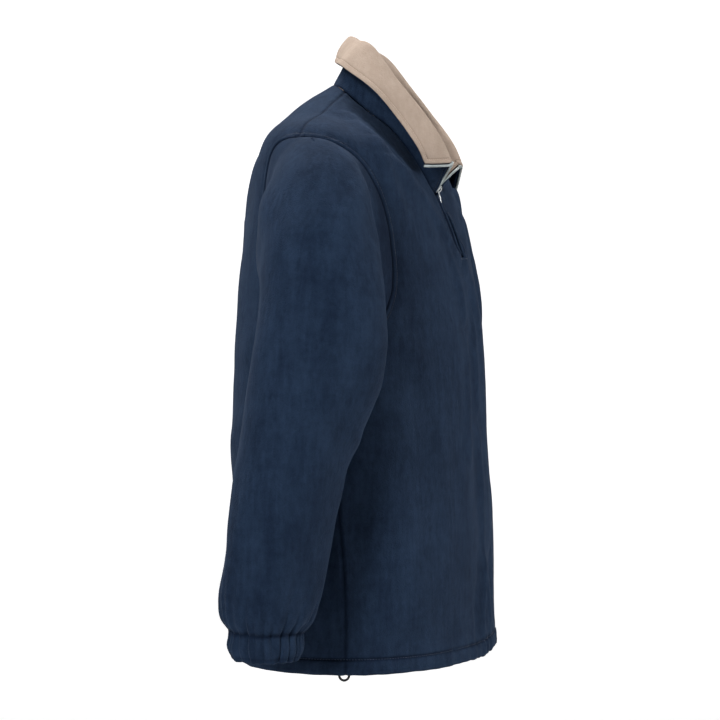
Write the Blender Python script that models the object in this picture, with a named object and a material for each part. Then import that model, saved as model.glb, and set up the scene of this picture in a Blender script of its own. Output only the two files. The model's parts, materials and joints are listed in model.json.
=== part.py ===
"""Quarter-zip fleece pullover, hollow as worn, made of its cut and sewn pieces.

Metres, +Z up. The wearer faces -Y and their right arm is on -X. The origin is the place
where the wearer's neck and shoulders hold the garment up: on the middle plane, at the
height of the shoulder seam's neck end.

Every cloth piece is a wall on one of three smooth surfaces, each read from a short table
of sections: the torso from hem to neck, the arm from armhole to cuff edge, and the collar
from neck seam over its fold to its outer edge.
"""
import math

import bpy
import numpy as np

# Cloth and seams
FLEECE = 0.0025
COLLAR_LAYER = 0.0022
TAPE_THICKNESS = 0.0008
SEAM_GAP = 0.0003
HALF_GAP = SEAM_GAP / 2

# Torso sections from the hem up, right half. Each is a rounded ring whose front, side and
# back points are given. seam is where side seam and shoulder seam cross it, in degrees
# round from the centre front.
TORSO_COLUMNS = ("side_z", "front_z", "back_z", "half_width", "front_y", "back_y",
                 "centre_y", "roundness", "seam")
TORSO_SECTIONS = {
    "hem": (-0.698, -0.698, -0.698, 0.233, -0.1605, 0.135, 0.000, 2.35, 80),
    "hip": (-0.620, -0.620, -0.620, 0.237, -0.156, 0.137, 0.000, 2.35, 80),
    "waist": (-0.460, -0.460, -0.455, 0.236, -0.147, 0.140, 0.000, 2.30, 83),
    "chest": (-0.330, -0.332, -0.322, 0.233, -0.1405, 0.138, 0.000, 2.25, 85),
    "underarm": (-0.240, -0.262, -0.212, 0.230, -0.134, 0.133, 0.000, 2.20, 88),
    "yoke": (-0.150, -0.206, -0.132, 0.232, -0.120, 0.124, 0.002, 2.10, 91),
    "shoulder_tip": (-0.086, -0.171, -0.075, 0.233, -0.108, 0.108, 0.005, 1.95, 92),
    "shoulder": (-0.046, -0.148, -0.024, 0.150, -0.0995, 0.080, 0.006, 1.90, 91),
}

# The neck seam, by degrees round from the centre front, right half
NECK_COLUMNS = ("angle", "x", "y", "z")
NECK_STATIONS = [
    (0, 0.000, -0.0925, -0.1350),
    (35, -0.050, -0.0730, -0.0860),
    (50, -0.065, -0.0550, -0.0600),
    (70, -0.072, -0.0250, -0.0350),
    (90, -0.060, 0.0060, -0.0100),
    (125, -0.040, 0.0260, 0.0010),
    (152, -0.020, 0.0330, 0.0040),
    (180, 0.000, 0.0350, 0.0050),
]

# The armhole: its ends in metres up the cloth, how far it reaches from the side seam towards
# the centre front and centre back, and how square its oval is
ARMHOLE = {"low": 0.387, "high": 0.618, "front_reach": 0.265, "back_reach": 0.185, "power": 2.5}

# Arm sections from just past the armhole down, right arm: the outer and inner points, the
# middle of the section and its half depth from front to back.
ARM_COLUMNS = ("outer_x", "outer_z", "inner_x", "inner_z", "centre_y", "half_depth")
ARM_SECTIONS = {
    "crown": (-0.262, -0.097, -0.2370, -0.3135, -0.0140, 0.0730),
    "biceps": (-0.298, -0.124, -0.2415, -0.3190, -0.0200, 0.0740),
    "upper": (-0.332, -0.176, -0.2445, -0.3290, -0.0295, 0.0720),
    "middle": (-0.354, -0.250, -0.2460, -0.3530, -0.0340, 0.0735),
    "elbow": (-0.362, -0.335, -0.2470, -0.3920, -0.0265, 0.0750),
    "below_elbow": (-0.365, -0.415, -0.2480, -0.4420, -0.0090, 0.0655),
    "forearm": (-0.367, -0.500, -0.2510, -0.5100, 0.0080, 0.0630),
    "lower": (-0.368, -0.565, -0.2580, -0.5700, 0.0180, 0.0600),
    "blouse": (-0.367, -0.606, -0.2690, -0.6080, 0.0246, 0.0577),
    "gather": (-0.3640, -0.627, -0.2790, -0.6280, 0.0264, 0.0514),
    "cuff_seam": (-0.3600, -0.6385, -0.2865, -0.6390, 0.0262, 0.0422),
    "cuff_middle": (-0.3580, -0.6550, -0.2885, -0.6552, 0.0268, 0.0418),
    "cuff_edge": (-0.3565, -0.6700, -0.2895, -0.6700, 0.0256, 0.0370),
}
LEFT_SLEEVE_BACK = 0.026

# The collar by degrees round the neck seam, right half: the top of its roll and its outer
# edge. left_back is how much further back both lie on the left.
COLLAR_COLUMNS = ("angle", "fold_x", "fold_y", "fold_z", "edge_x", "edge_y", "edge_z", "left_back")
COLLAR_STATIONS = [
    (0, -0.033, -0.1190, -0.0980, -0.0660, -0.0950, -0.1030, 0.000),
    (35, -0.062, -0.1080, -0.0600, -0.0900, -0.0850, -0.0760, 0.010),
    (50, -0.075, -0.0940, -0.0370, -0.0990, -0.0700, -0.0520, 0.014),
    (70, -0.079, -0.0600, 0.0060, -0.1060, -0.0400, -0.0160, 0.014),
    (90, -0.070, -0.0350, 0.0385, -0.0920, -0.0030, 0.0120, 0.012),
    (125, -0.046, -0.0080, 0.0540, -0.0570, 0.0130, 0.0220, 0.003),
    (152, -0.0245, 0.0060, 0.0620, -0.0265, 0.0245, 0.0300, 0.000),
    (180, 0.000, 0.0090, 0.0645, 0.0000, 0.0285, 0.0335, 0.000),
]
# The left flap's front corner hangs down more than the right one's: how far its outer edge
# moves towards the middle, forwards and down, and the degrees over which that fades out.
LEFT_CORNER = (0.014, -0.011, -0.022)
LEFT_CORNER_SPREAD = 24
COLLAR_THICKNESS = 2 * COLLAR_LAYER + SEAM_GAP
ROLL_RADIUS = 0.0025
COLLAR_CROWN = 0.0030
COLLAR_HOLLOW = 0.0025
ZIP_CLOSED_SPREAD = 14
ZIP_CLOSED_POWER = 1.8

# Zip
SLIT_HALF_WIDTH = 0.0065
CHAIN_HALF_WIDTH = 0.0025
CHAIN_THICKNESS = 0.0022
CHAIN_DEPTH = 0.0012
CHAIN_START = 0.03
ZIP_RUN_STEP = 0.2
TAPE_HIDDEN = 0.0060
TAPE_NARROWS = 0.004
TAPE_FROM_CHAIN = 0.0007
ZIP_BELOW_NECK = 0.084
STOP_LENGTH = 0.012
STOP_FROM_FOOT = 0.001
STOP_HALF_WIDTH = 0.0027
STOP_THICKNESS = 0.0009
SLIDER = {"length": 0.0100, "width": 0.0076, "plate": 0.0010, "clearance": 0.0004,
          "above_seam": 0.0065, "post_width": 0.0010, "post_length": 0.0026,
          "bridge_width": 0.0016, "bridge_length": 0.0076, "bridge_height": 0.0026,
          "inset": 0.0003}
PULL = {"length": 0.0180, "width": 0.0044, "thickness": 0.0013, "arm": 0.0011,
        "bar": 0.0009, "eye": 0.0052, "lean": 10.0, "inset": 0.0002}

# Hem casing and its elastic cord
HEM_TURN_UP = 0.018
TURN_UP_LAYER = 0.0022
CORD_DIAMETER = 0.0028
CORD_CLEARANCE = 0.0014
CORD_LOOP_RADIUS = 0.0056
CORD_DROP = 0.0072
CORD_REACH_UP = 0.0150
CORD_ACROSS = 1.005

# Folds of the torso, right to left: across is 0 at the centre front, 1 at the left seam
# and 2 at the centre back, negative on the right. up is metres along the cloth from the hem.
FOLD_COLUMNS = ("from_across", "from_up", "to_across", "to_up", "width", "height")
TORSO_FOLDS = {
    "left_of_zip": (0.05, 0.660, 0.055, 0.500, 0.022, 0.0055),
    "below_zip": (0.02, 0.475, 0.16, 0.400, 0.014, -0.0040),
    "chest_right": (-0.86, 0.700, -0.42, 0.540, 0.020, 0.0040),
    "chest_left": (0.82, 0.690, 0.45, 0.520, 0.022, 0.0040),
    "front_left_ridge": (0.14, 0.570, 0.22, 0.120, 0.038, 0.0055),
    "front_right_ridge": (-0.34, 0.420, -0.30, 0.060, 0.045, 0.0035),
    "hem_left_trough": (0.30, 0.150, 0.24, 0.030, 0.012, -0.0035),
    "hem_right_trough": (-0.14, 0.130, -0.20, 0.020, 0.014, -0.0025),
    "side_right": (-0.80, 0.330, -0.74, 0.050, 0.030, 0.0040),
    "side_left": (0.82, 0.340, 0.76, 0.060, 0.030, 0.0040),
    "back_right": (-1.45, 0.520, -1.55, 0.080, 0.045, 0.0045),
    "back_left": (1.50, 0.540, 1.42, 0.060, 0.045, 0.0045),
    "back_middle": (-1.98, 0.420, 1.98, 0.100, 0.040, -0.0030),
}
QUARTER_GIRTH = 0.31

# Folds of the right sleeve: turn is degrees from the outside towards the front, along is
# metres down from the armhole, and slant is how far round a fold moves over its length.
SLEEVE_FOLD_COLUMNS = ("turn", "slant", "along", "length", "spread", "height")
SLEEVE_FOLDS = {
    "front_hollow": (70, 25, 0.300, 0.090, 26, -0.0030),
    "elbow_back": (-95, 20, 0.270, 0.070, 24, 0.0030),
    "outer_ridge": (20, -15, 0.420, 0.110, 24, 0.0030),
    "inner_hollow": (170, 10, 0.380, 0.120, 34, -0.0030),
}

# Elastic gathers of the cuff, which fade out up the sleeve
PUCKERS = 20
PUCKER_DEPTH = 0.0009
PUCKER_REACH = 0.040

# How finely the faceted walls are cut
FRONT_COLUMNS = 9
BACK_COLUMNS = 9
SIDE_DENSITY = 1.3
ROWS_BELOW_ARMHOLE = 8
ROWS_OF_ARMHOLE = 10
ROWS_ABOVE_ARMHOLE = 4
CUFF_COLUMNS = 40
SLEEVE_ROWS = 11
COLLAR_COLUMNS_EACH_SIDE = 12
COLLAR_ROWS = (0, 0.12, 0.28, 0.6, 1, 1.33, 1.67, 2, 2.5, 3)

SIDES = (-1, 1)
SIDE_NAMES = {-1: "right", 1: "left"}


# ---------------------------------------------------------------- smooth surfaces

def column(columns, table, name):
    """One named column of a table of sections."""
    rows = table.values() if isinstance(table, dict) else table
    return np.array([row[columns.index(name)] for row in rows], float)


def through(stations, values, at):
    """A smooth curve for each sample: values is (station, sample, xyz), read at `at`."""
    slopes = np.gradient(values, stations, axis=0)
    low = np.clip(np.searchsorted(stations, at) - 1, 0, len(stations) - 2)
    sample = np.arange(len(at))
    span = (stations[low + 1] - stations[low])[:, None]
    u = (at - stations[low])[:, None] / span
    start, end = values[low, sample], values[low + 1, sample]
    start_slope, end_slope = slopes[low, sample] * span, slopes[low + 1, sample] * span
    rise = 3 * u ** 2 - 2 * u ** 3
    return (start + (end - start) * rise + start_slope * (u - 2 * u ** 2 + u ** 3)
            + end_slope * (u ** 3 - u ** 2))


def station_points(columns, table, names, angle, open_front=False):
    """Points at the given angles on a curve through a table's stations.

    The curve runs on smoothly across the centre back, and across the centre front too
    unless the piece is open there.
    """
    stations = column(columns, table, "angle")
    values = np.stack([column(columns, table, name) for name in names], axis=1)
    across_back = values[-2] * (-1, 1, 1)
    stations = np.append(stations, 360 - stations[-2])
    values = np.vstack([values, across_back])
    if not open_front:
        stations = np.insert(stations, 0, -stations[1])
        values = np.vstack([values[1] * (-1, 1, 1), values])
    values = np.repeat(values[:, None, :], len(angle), axis=1)
    return through(stations, values, angle)


def unit(vectors):
    return vectors / np.linalg.norm(vectors, axis=-1, keepdims=True)


def mirrored(points, side):
    """Right-hand points (side -1), or the same on the left (side +1)."""
    return points * np.array([-side, 1.0, 1.0])


def round_from_front(across, seam):
    """Degrees round the body where across is 0 at the front, 1 at the seam, 2 at the back."""
    return np.where(across < 1, across * seam, seam + (across - 1) * (180 - seam))


def neck_seam(angle):
    return station_points(NECK_COLUMNS, NECK_STATIONS, ("x", "y", "z"), angle)


def torso_section(row, across):
    """Points of one torso section, wearer's right half."""
    named = dict(zip(TORSO_COLUMNS, row))
    angle = np.radians(round_from_front(across, named["seam"]))
    cosine, sine = np.cos(angle), np.sin(angle)
    front = cosine > 0
    depth = np.where(front, named["centre_y"] - named["front_y"], named["back_y"] - named["centre_y"])
    power = named["roundness"]
    spokes = (np.abs(sine) / named["half_width"]) ** power + (np.abs(cosine) / depth) ** power
    radius = spokes ** (-1 / power)
    end_z = np.where(front, named["front_z"], named["back_z"])
    z = named["side_z"] + (end_z - named["side_z"]) * np.abs(cosine) ** 1.5
    return np.stack([-radius * sine, named["centre_y"] - radius * cosine, z], axis=-1)


def torso_sections(across):
    rings = [torso_section(row, across) for row in TORSO_SECTIONS.values()]
    rings.append(neck_seam(round_from_front(across, 90.0)))
    return np.stack(rings)


def running_length(points):
    steps = np.linalg.norm(np.diff(points, axis=0), axis=1)
    return np.concatenate([[0.0], np.cumsum(steps)])


TORSO_LEVELS = running_length(torso_sections(np.array([1.0]))[:, 0])
NECK_LEVEL = TORSO_LEVELS[-1]


def smooth_torso(across, up):
    """The torso without folds, right half: across from 0 (front) to 2 (back)."""
    return through(TORSO_LEVELS, torso_sections(across), up)


def surface_normal(surface, first, second, step=1e-4):
    """The unit normal of surface(first, second), from its two tangents."""
    along_first = surface(first + step, second) - surface(first - step, second)
    along_second = surface(first, second + step) - surface(first, second - step)
    return unit(np.cross(along_first, along_second))


def fold_height(signed_across, up):
    """How far the folds lift the torso out there."""
    height = np.zeros(len(up))
    for row in TORSO_FOLDS.values():
        fold = dict(zip(FOLD_COLUMNS, row))
        start = np.array([fold["from_across"] * QUARTER_GIRTH, fold["from_up"]])
        run = np.array([fold["to_across"] * QUARTER_GIRTH, fold["to_up"]]) - start
        if abs(run[0]) > 2 * QUARTER_GIRTH:
            run[0] -= math.copysign(4 * QUARTER_GIRTH, run[0])
        for turn in (-4, 0, 4):
            place = np.stack([(signed_across + turn) * QUARTER_GIRTH, up], axis=-1) - start
            along = place @ run / (run @ run)
            beside = place - np.clip(along, 0, 1)[:, None] * run
            taper = np.clip(4 * np.clip(along, 0, 1) * (1 - np.clip(along, 0, 1)), 0, 1) ** 0.5
            height += fold["height"] * taper * np.exp(-(beside ** 2).sum(axis=1) / fold["width"] ** 2)
    return height


def on_middle(across):
    """Whether a place is on the centre front or the centre back."""
    return np.isclose(across, 0) | np.isclose(across, 2)


def torso(side):
    """The folded torso surface of one side, as a function of across and up."""
    def point(across, up):
        outward = surface_normal(smooth_torso, across, up)
        lifted = smooth_torso(across, up) - outward * fold_height(side * across, up)[:, None]
        lifted[on_middle(across), 0] = 0.0
        return mirrored(lifted, side)
    return point


def torso_out(side, across, up):
    """The outward normal of the folded torso."""
    return surface_normal(torso(side), across, up) * side


def metres_per_across(across, up):
    step = 1e-3
    run = smooth_torso(across + step, up) - smooth_torso(across - step, up)
    return np.linalg.norm(run, axis=1) / (2 * step)


# ---------------------------------------------------------------- the armhole

def armhole_levels(count):
    """Levels up the armhole, close together at its ends."""
    turn = np.linspace(0, math.pi, count + 1)
    return ARMHOLE["low"] + (ARMHOLE["high"] - ARMHOLE["low"]) * (1 - np.cos(turn)) / 2


def armhole_across(up, centre):
    """Where the armhole's edge lies towards centre: 0 for its front edge, 2 for its back."""
    middle, half = (ARMHOLE["high"] + ARMHOLE["low"]) / 2, (ARMHOLE["high"] - ARMHOLE["low"]) / 2
    off = np.clip(np.abs((up - middle) / half), 0, 1)
    reach = ARMHOLE["front_reach"] if centre < 1 else ARMHOLE["back_reach"]
    return 1 + (centre - 1) * reach * (1 - off ** ARMHOLE["power"]) ** (1 / ARMHOLE["power"])


def panel_edge(up, centre):
    """The seam edge of the front or back panel, half a seam gap clear of its neighbour.

    At the shoulder, where the two panels meet in a ridge, it is a whole gap clear.
    """
    edge = armhole_across(up, centre)
    gap = np.where(up >= ARMHOLE["high"] - SEAM_GAP, SEAM_GAP, HALF_GAP)
    return edge + np.sign(centre - 1) * gap / metres_per_across(edge, up)


# ---------------------------------------------------------------- making solids

def material(name, colour, roughness, metallic=0.0):
    made = bpy.data.materials.new(name)
    made.use_nodes = True
    shader = made.node_tree.nodes["Principled BSDF"]
    shader.inputs["Base Color"].default_value = (*colour, 1.0)
    shader.inputs["Roughness"].default_value = roughness
    shader.inputs["Metallic"].default_value = metallic
    return made


def make_object(name, vertices, faces, finish, smooth=True):
    mesh = bpy.data.meshes.new(name)
    mesh.from_pydata([tuple(map(float, vertex)) for vertex in vertices], [], faces)
    mesh.materials.append(finish)
    if smooth:
        mesh.shade_smooth()
        mesh.set_sharp_from_angle(angle=math.radians(50))
    mesh.update()
    made = bpy.data.objects.new(name, mesh)
    bpy.context.collection.objects.link(made)
    return made


def signed_volume(vertices, faces):
    total = 0.0
    for face in faces:
        for second, third in zip(face[1:-1], face[2:]):
            total += np.dot(vertices[face[0]], np.cross(vertices[second], vertices[third]))
    return total


def facing_out(vertices, faces):
    if signed_volume(vertices, faces) > 0:
        return faces
    return [tuple(reversed(face)) for face in faces]


def winds_outward(points, normals):
    """Whether a grid's faces, taken row by row, wind about its outward normals."""
    turned = np.cross(points[:-1, 1:] - points[:-1, :-1], points[1:, :-1] - points[:-1, :-1])
    return (turned * normals[:-1, :-1]).sum() > 0


def wall(name, patches, thickness, finish):
    """One closed cloth wall behind grids of (points, outward normals) that share edges.

    A grid whose last column repeats its first is closed into a tube.
    """
    index, points, normals, faces = {}, [], [], []
    for grid_points, grid_normals in patches:
        ids = np.zeros(grid_points.shape[:2], int)
        for place in np.ndindex(ids.shape):
            key = tuple(np.round(grid_points[place], 7) + 0.0)
            if key not in index:
                index[key] = len(points)
                points.append(grid_points[place])
                normals.append(np.zeros(3))
            ids[place] = index[key]
            normals[ids[place]] = normals[ids[place]] + grid_normals[place]
        order = 1 if winds_outward(grid_points, grid_normals) else -1
        for row, col in np.ndindex(ids.shape[0] - 1, ids.shape[1] - 1):
            low, low_next = int(ids[row, col]), int(ids[row, col + 1])
            high, high_next = int(ids[row + 1, col]), int(ids[row + 1, col + 1])
            rising = np.linalg.norm(points[high_next] - points[low])
            falling = np.linalg.norm(points[high] - points[low_next])
            halves = ((low, low_next, high_next), (low, high_next, high))
            if falling < rising:
                halves = ((low, low_next, high), (low_next, high_next, high))
            faces += [face[::order] for face in halves if len(set(face)) == 3]
    points = np.array(points)
    inner = points - unit(np.array(normals)) * thickness
    count = len(points)
    directed = {(a, b) for face in faces for a, b in zip(face, face[1:] + face[:1])}
    rim = [(b, a, a + count, b + count) for a, b in directed if (b, a) not in directed]
    shell = faces + [tuple(v + count for v in reversed(face)) for face in faces] + sorted(rim)
    vertices = np.vstack([points, inner])
    return make_object(name, vertices, facing_out(vertices, shell), finish)


def on_grid(surface, first, second):
    """Read a surface over a grid of places."""
    return surface(first.ravel(), second.ravel()).reshape(*first.shape, 3)


def torso_grid(side, across, up, lift=0.0):
    """A grid of (points, normals) on the torso, moved out by lift."""
    points = on_grid(torso(side), across, up)
    normals = torso_out(side, across.ravel(), up.ravel()).reshape(points.shape)
    normals[on_middle(across), 0] = 0.0
    return points + normals * lift, normals


# ---------------------------------------------------------------- front and back

def front_run(up):
    """Metres along the centre front from a level up to the neck seam."""
    levels = np.linspace(up, NECK_LEVEL, 60)
    return running_length(smooth_torso(np.zeros(len(levels)), levels))[-1]


def level_below_neck(run):
    """The level whose centre front lies that far below the neck seam."""
    low, high = TORSO_LEVELS[2], NECK_LEVEL
    for _ in range(40):
        middle = (low + high) / 2
        low, high = (middle, high) if front_run(middle) > run else (low, middle)
    return (low + high) / 2


def beside_zip(distance, up):
    """The across value that lies a distance from the centre front."""
    return distance / metres_per_across(np.zeros(len(up)), up)


def panel_levels(*marks):
    """Levels of the panels' rows, hem to neck, with the marked ones among them."""
    below = np.linspace(0, ARMHOLE["low"], ROWS_BELOW_ARMHOLE + 1)[:-1]
    above = np.linspace(ARMHOLE["high"], NECK_LEVEL, ROWS_ABOVE_ARMHOLE + 1)[1:]
    levels = np.concatenate([below, armhole_levels(ROWS_OF_ARMHOLE), above, marks])
    return np.unique(np.minimum(levels, NECK_LEVEL - HALF_GAP))


def zip_foot():
    """The panel's row that is nearest to the zip's length below the neck seam."""
    levels = panel_levels()
    return levels[np.argmin(np.abs(levels - level_below_neck(ZIP_BELOW_NECK)))]


ZIP_FOOT = zip_foot()


def front_columns(up):
    """Across values of the front's grid: the centre, both edges of the zip's tape, then even."""
    slit, covered = beside_zip(SLIT_HALF_WIDTH, up), beside_zip(SLIT_HALF_WIDTH + TAPE_HIDDEN, up)
    share = 1 - np.linspace(1, 0, FRONT_COLUMNS) ** SIDE_DENSITY
    spread = covered[:, None] + (panel_edge(up, 0) - covered)[:, None] * share
    return np.column_stack([np.zeros(len(up)), slit, spread])


def back_columns(up):
    share = np.linspace(0, 1, BACK_COLUMNS + 1) ** SIDE_DENSITY
    start = panel_edge(up, 2)
    return start[:, None] + (2 - start)[:, None] * share


def panel_patches(levels, across, lift=0.0):
    up = np.repeat(levels[:, None], across.shape[1], axis=1)
    return [torso_grid(side, across, up, lift) for side in SIDES]


def make_front(finish):
    """One panel, with the zip's slit down from the neck."""
    levels = panel_levels(HEM_TURN_UP, ZIP_FOOT)
    below, above = levels[levels <= ZIP_FOOT], levels[levels >= ZIP_FOOT]
    whole = panel_patches(below, front_columns(below))
    split = panel_patches(above, front_columns(above)[:, 1:])
    return wall("front", whole + split, FLEECE, finish)


def make_back(finish):
    levels = panel_levels(HEM_TURN_UP)
    return wall("back", panel_patches(levels, back_columns(levels)), FLEECE, finish)


def make_hem(name, columns, finish):
    """The hem's turned-up layer inside a panel, the casing of the elastic cord."""
    levels = np.array([0.0, HEM_TURN_UP])
    lift = -(FLEECE + SEAM_GAP)
    return wall(name, panel_patches(levels, columns(levels), lift), TURN_UP_LAYER, finish)


# ---------------------------------------------------------------- sleeves and cuffs

def armhole_point(turn):
    """The armhole's edge on the torso: turn is 0 at the top, pi/2 in front, pi below."""
    middle, half = (ARMHOLE["high"] + ARMHOLE["low"]) / 2, (ARMHOLE["high"] - ARMHOLE["low"]) / 2
    up = middle + half * np.cos(turn)
    front = armhole_across(up, 0)
    back = armhole_across(up, 2)
    across = np.where(np.sin(turn) > 0, front, back)
    place = torso(-1)(across, up)
    centre = torso(-1)(np.array([1.0]), np.array([middle]))
    inward = (centre - place) * (0, 1, 1)
    return place + unit(inward) * SEAM_GAP


def arm_sections(turn):
    named = {name: column(ARM_COLUMNS, ARM_SECTIONS, name)[:, None] for name in ARM_COLUMNS}
    cosine, sine = np.cos(turn), np.sin(turn)
    x = (named["outer_x"] * (1 + cosine) + named["inner_x"] * (1 - cosine)) / 2
    z = (named["outer_z"] * (1 + cosine) + named["inner_z"] * (1 - cosine)) / 2
    y = named["centre_y"] - named["half_depth"] * sine
    return np.concatenate([armhole_point(turn)[None], np.stack([x, y, z], axis=-1)])


def arm_axis_lengths():
    quarter_turns = np.radians([0.0, 90.0, 180.0, 270.0])
    return running_length(arm_sections(quarter_turns).mean(axis=1))


ARM_LENGTHS = arm_axis_lengths()
CUFF_START = ARM_LENGTHS[1 + list(ARM_SECTIONS).index("cuff_seam")]


def pucker(turn, along):
    """The cuff's elastic gathers, which fade out up the sleeve."""
    distance = (along - CUFF_START) / PUCKER_REACH
    fade = np.exp(-np.clip(-distance, 0, None) ** 2 * 4)
    wave = np.cos(PUCKERS * turn + 0.7 * np.sin(3 * turn)) + 0.4 * np.cos(PUCKERS * 0.5 * turn)
    return PUCKER_DEPTH * fade * wave


def smooth_arm(turn, along):
    return through(ARM_LENGTHS, arm_sections(turn), along)


def arm(side):
    """One arm's surface, armhole to cuff edge. The left arm hangs further back."""
    def point(turn, along):
        outward = -surface_normal(smooth_arm, turn, along)
        lift = np.where(along > ARM_LENGTHS[2], pucker(turn, along), 0.0)
        for row in SLEEVE_FOLDS.values():
            fold = dict(zip(SLEEVE_FOLD_COLUMNS, row))
            down = (along - fold["along"]) / fold["length"]
            off = turn - np.radians(fold["turn"] + fold["slant"] * down)
            off = np.abs((off + math.pi) % (2 * math.pi) - math.pi) / math.radians(fold["spread"])
            lift += fold["height"] * np.exp(-off ** 2 - down ** 2)
        back = LEFT_SLEEVE_BACK * np.sin(math.pi * along / ARM_LENGTHS[-1]) * (side > 0)
        place = smooth_arm(turn, along) + outward * lift[:, None]
        return mirrored(place + back[:, None] * (0, 1, 0), side)
    return point


def make_arm_piece(name, side, columns, lengths, finish):
    turn, along = np.meshgrid(np.linspace(0, 2 * math.pi, columns + 1), lengths)
    points = on_grid(arm(side), turn, along)
    normals = side * surface_normal(arm(side), turn.ravel(), along.ravel()).reshape(points.shape)
    points[:, -1], normals[:, -1] = points[:, 0], normals[:, 0]
    return wall(name, [(points, normals)], FLEECE, finish)


# ---------------------------------------------------------------- collar

def collar_points(angle, names):
    return station_points(COLLAR_COLUMNS, COLLAR_STATIONS, names, angle, open_front=True)


def collar_lining(side):
    """The collar's face that lies against its outer shell, on one side of the neck.

    v runs 0 to 1 up the stand, to 2 over the roll, and to 3 down the flap.
    """
    def point(angle, v):
        seam = neck_seam(angle)
        left_back = collar_points(angle, ["left_back"] * 3) * (0, 1, 0) * (side > 0)
        fold = collar_points(angle, COLLAR_COLUMNS[1:4]) + left_back
        edge = collar_points(angle, COLLAR_COLUMNS[4:7]) + left_back
        corner = np.exp(-(angle / LEFT_CORNER_SPREAD) ** 2)[:, None] * LEFT_CORNER * (side > 0)
        hanging = np.clip(2 * v - 1, 0, 1)[:, None]
        up = unit(fold - seam)
        flat = edge - fold + corner * hanging ** 2 * (3 - 2 * hanging)
        out = unit(flat - up * (flat * up).sum(axis=1, keepdims=True))
        centre = fold - up * (ROLL_RADIUS + COLLAR_THICKNESS)
        low = seam + up * 2 * SEAM_GAP - centre
        tip = edge + corner - centre

        def tangent_angle(place, turn):
            flat = np.hypot((place * out).sum(axis=1), (place * up).sum(axis=1))
            bearing = np.arctan2((place * up).sum(axis=1), (place * out).sum(axis=1))
            return bearing + turn * np.arccos(np.clip(ROLL_RADIUS / flat, -1, 1))

        start = tangent_angle(low, -1) + 2 * math.pi
        end = tangent_angle(tip, 1)
        roll = start + (end - start) * np.clip(v - 1, 0, 1)
        on_roll = ROLL_RADIUS * (np.cos(roll)[:, None] * out + np.sin(roll)[:, None] * up)
        stand, flap = np.clip(v, 0, 1)[:, None], np.clip(v - 2, 0, 1)[:, None]
        place = on_roll + (low - on_roll) * (1 - stand) + (tip - on_roll) * flap
        front = np.exp(-(angle / ZIP_CLOSED_SPREAD) ** 2)[:, None]
        held_in = (seam - fold)[:, :1] * (stand - stand ** ZIP_CLOSED_POWER) * front * (1 - flap)
        wave = COLLAR_CROWN * np.sin(math.pi * flap)
        wave -= COLLAR_HOLLOW * np.sin(math.pi * stand) * (1 - front)
        return mirrored(centre + place + held_in * (1, 0, 0) + wave * out, side)
    return point


def collar_normal(side):
    """The way from the lining side out to the collar's top face.

    Both sides' front edges lie in one plane where the slider holds them together.
    """
    def direction(angle, v):
        normal = -side * surface_normal(collar_lining(side), angle, v, 1e-3)
        held = np.exp(-(angle / ZIP_CLOSED_SPREAD) ** 2) * np.clip(1 - v / 0.6, 0, 1)
        return unit(normal * np.column_stack([1 - held, np.ones(len(v)), np.ones(len(v))]))
    return direction


def collar_grid(side, angles, lift):
    angle, v = np.meshgrid(angles, COLLAR_ROWS)
    normals = on_grid(collar_normal(side), angle, v)
    points = on_grid(collar_lining(side), angle, v) + normals * lift
    points[np.isclose(angle, 180), 0] = 0.0
    return points, normals


def collar_front_angle():
    """Where the collar's front edge starts on the neck seam: a slit's half width out."""
    angles = np.linspace(0, 20, 400)
    return float(np.interp(SLIT_HALF_WIDTH, -neck_seam(angles)[:, 0], angles))


COLLAR_FRONT = collar_front_angle()


def make_collar(name, lift, finish):
    share = np.linspace(0, 1, COLLAR_COLUMNS_EACH_SIDE + 1)
    angles = COLLAR_FRONT + (180 - COLLAR_FRONT) * share ** 1.1
    return wall(name, [collar_grid(side, angles, lift) for side in SIDES], COLLAR_LAYER, finish)


# ---------------------------------------------------------------- zip

def collar_zip_place(side, v, beyond, depth):
    """Points beyond the collar's front edge on one side, and the face's normal there."""
    angle = np.full(len(v), COLLAR_FRONT)
    surface = collar_lining(side)
    edge, normal = surface(angle, v), collar_normal(side)(angle, v)
    run = unit(surface(angle, v + 0.01) - surface(angle, v - 0.01 * (v > 0.01)))
    back = surface(angle + ZIP_RUN_STEP, v) - edge
    away = -unit(back - run * (back * run).sum(axis=1, keepdims=True))
    away = unit(away - normal * (away * normal).sum(axis=1, keepdims=True))
    return edge + away * beyond[:, None] + normal * depth, normal


def torso_zip_place(side, up, from_centre, depth):
    """Points below the front's outer face at a distance from the centre, on one side."""
    across = beside_zip(from_centre, up)
    normal = torso_out(side, across, up)
    return torso(side)(across, up) - normal * depth, normal


def strip(name, rows, thickness, finish):
    """A wall through rows of (points, normals), one pair for each section of a strip."""
    points = np.stack([row[0] for row in rows])
    normals = np.stack([row[1] for row in rows])
    return wall(name, [(points, normals)], thickness, finish)


def tape_on_torso(side, level, spread, depth):
    """A row of the tape's back face below the neck seam, and the way it faces."""
    place, out = torso_zip_place(side, np.full(3, level), spread, depth + TAPE_THICKNESS)
    return place, -out


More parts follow.
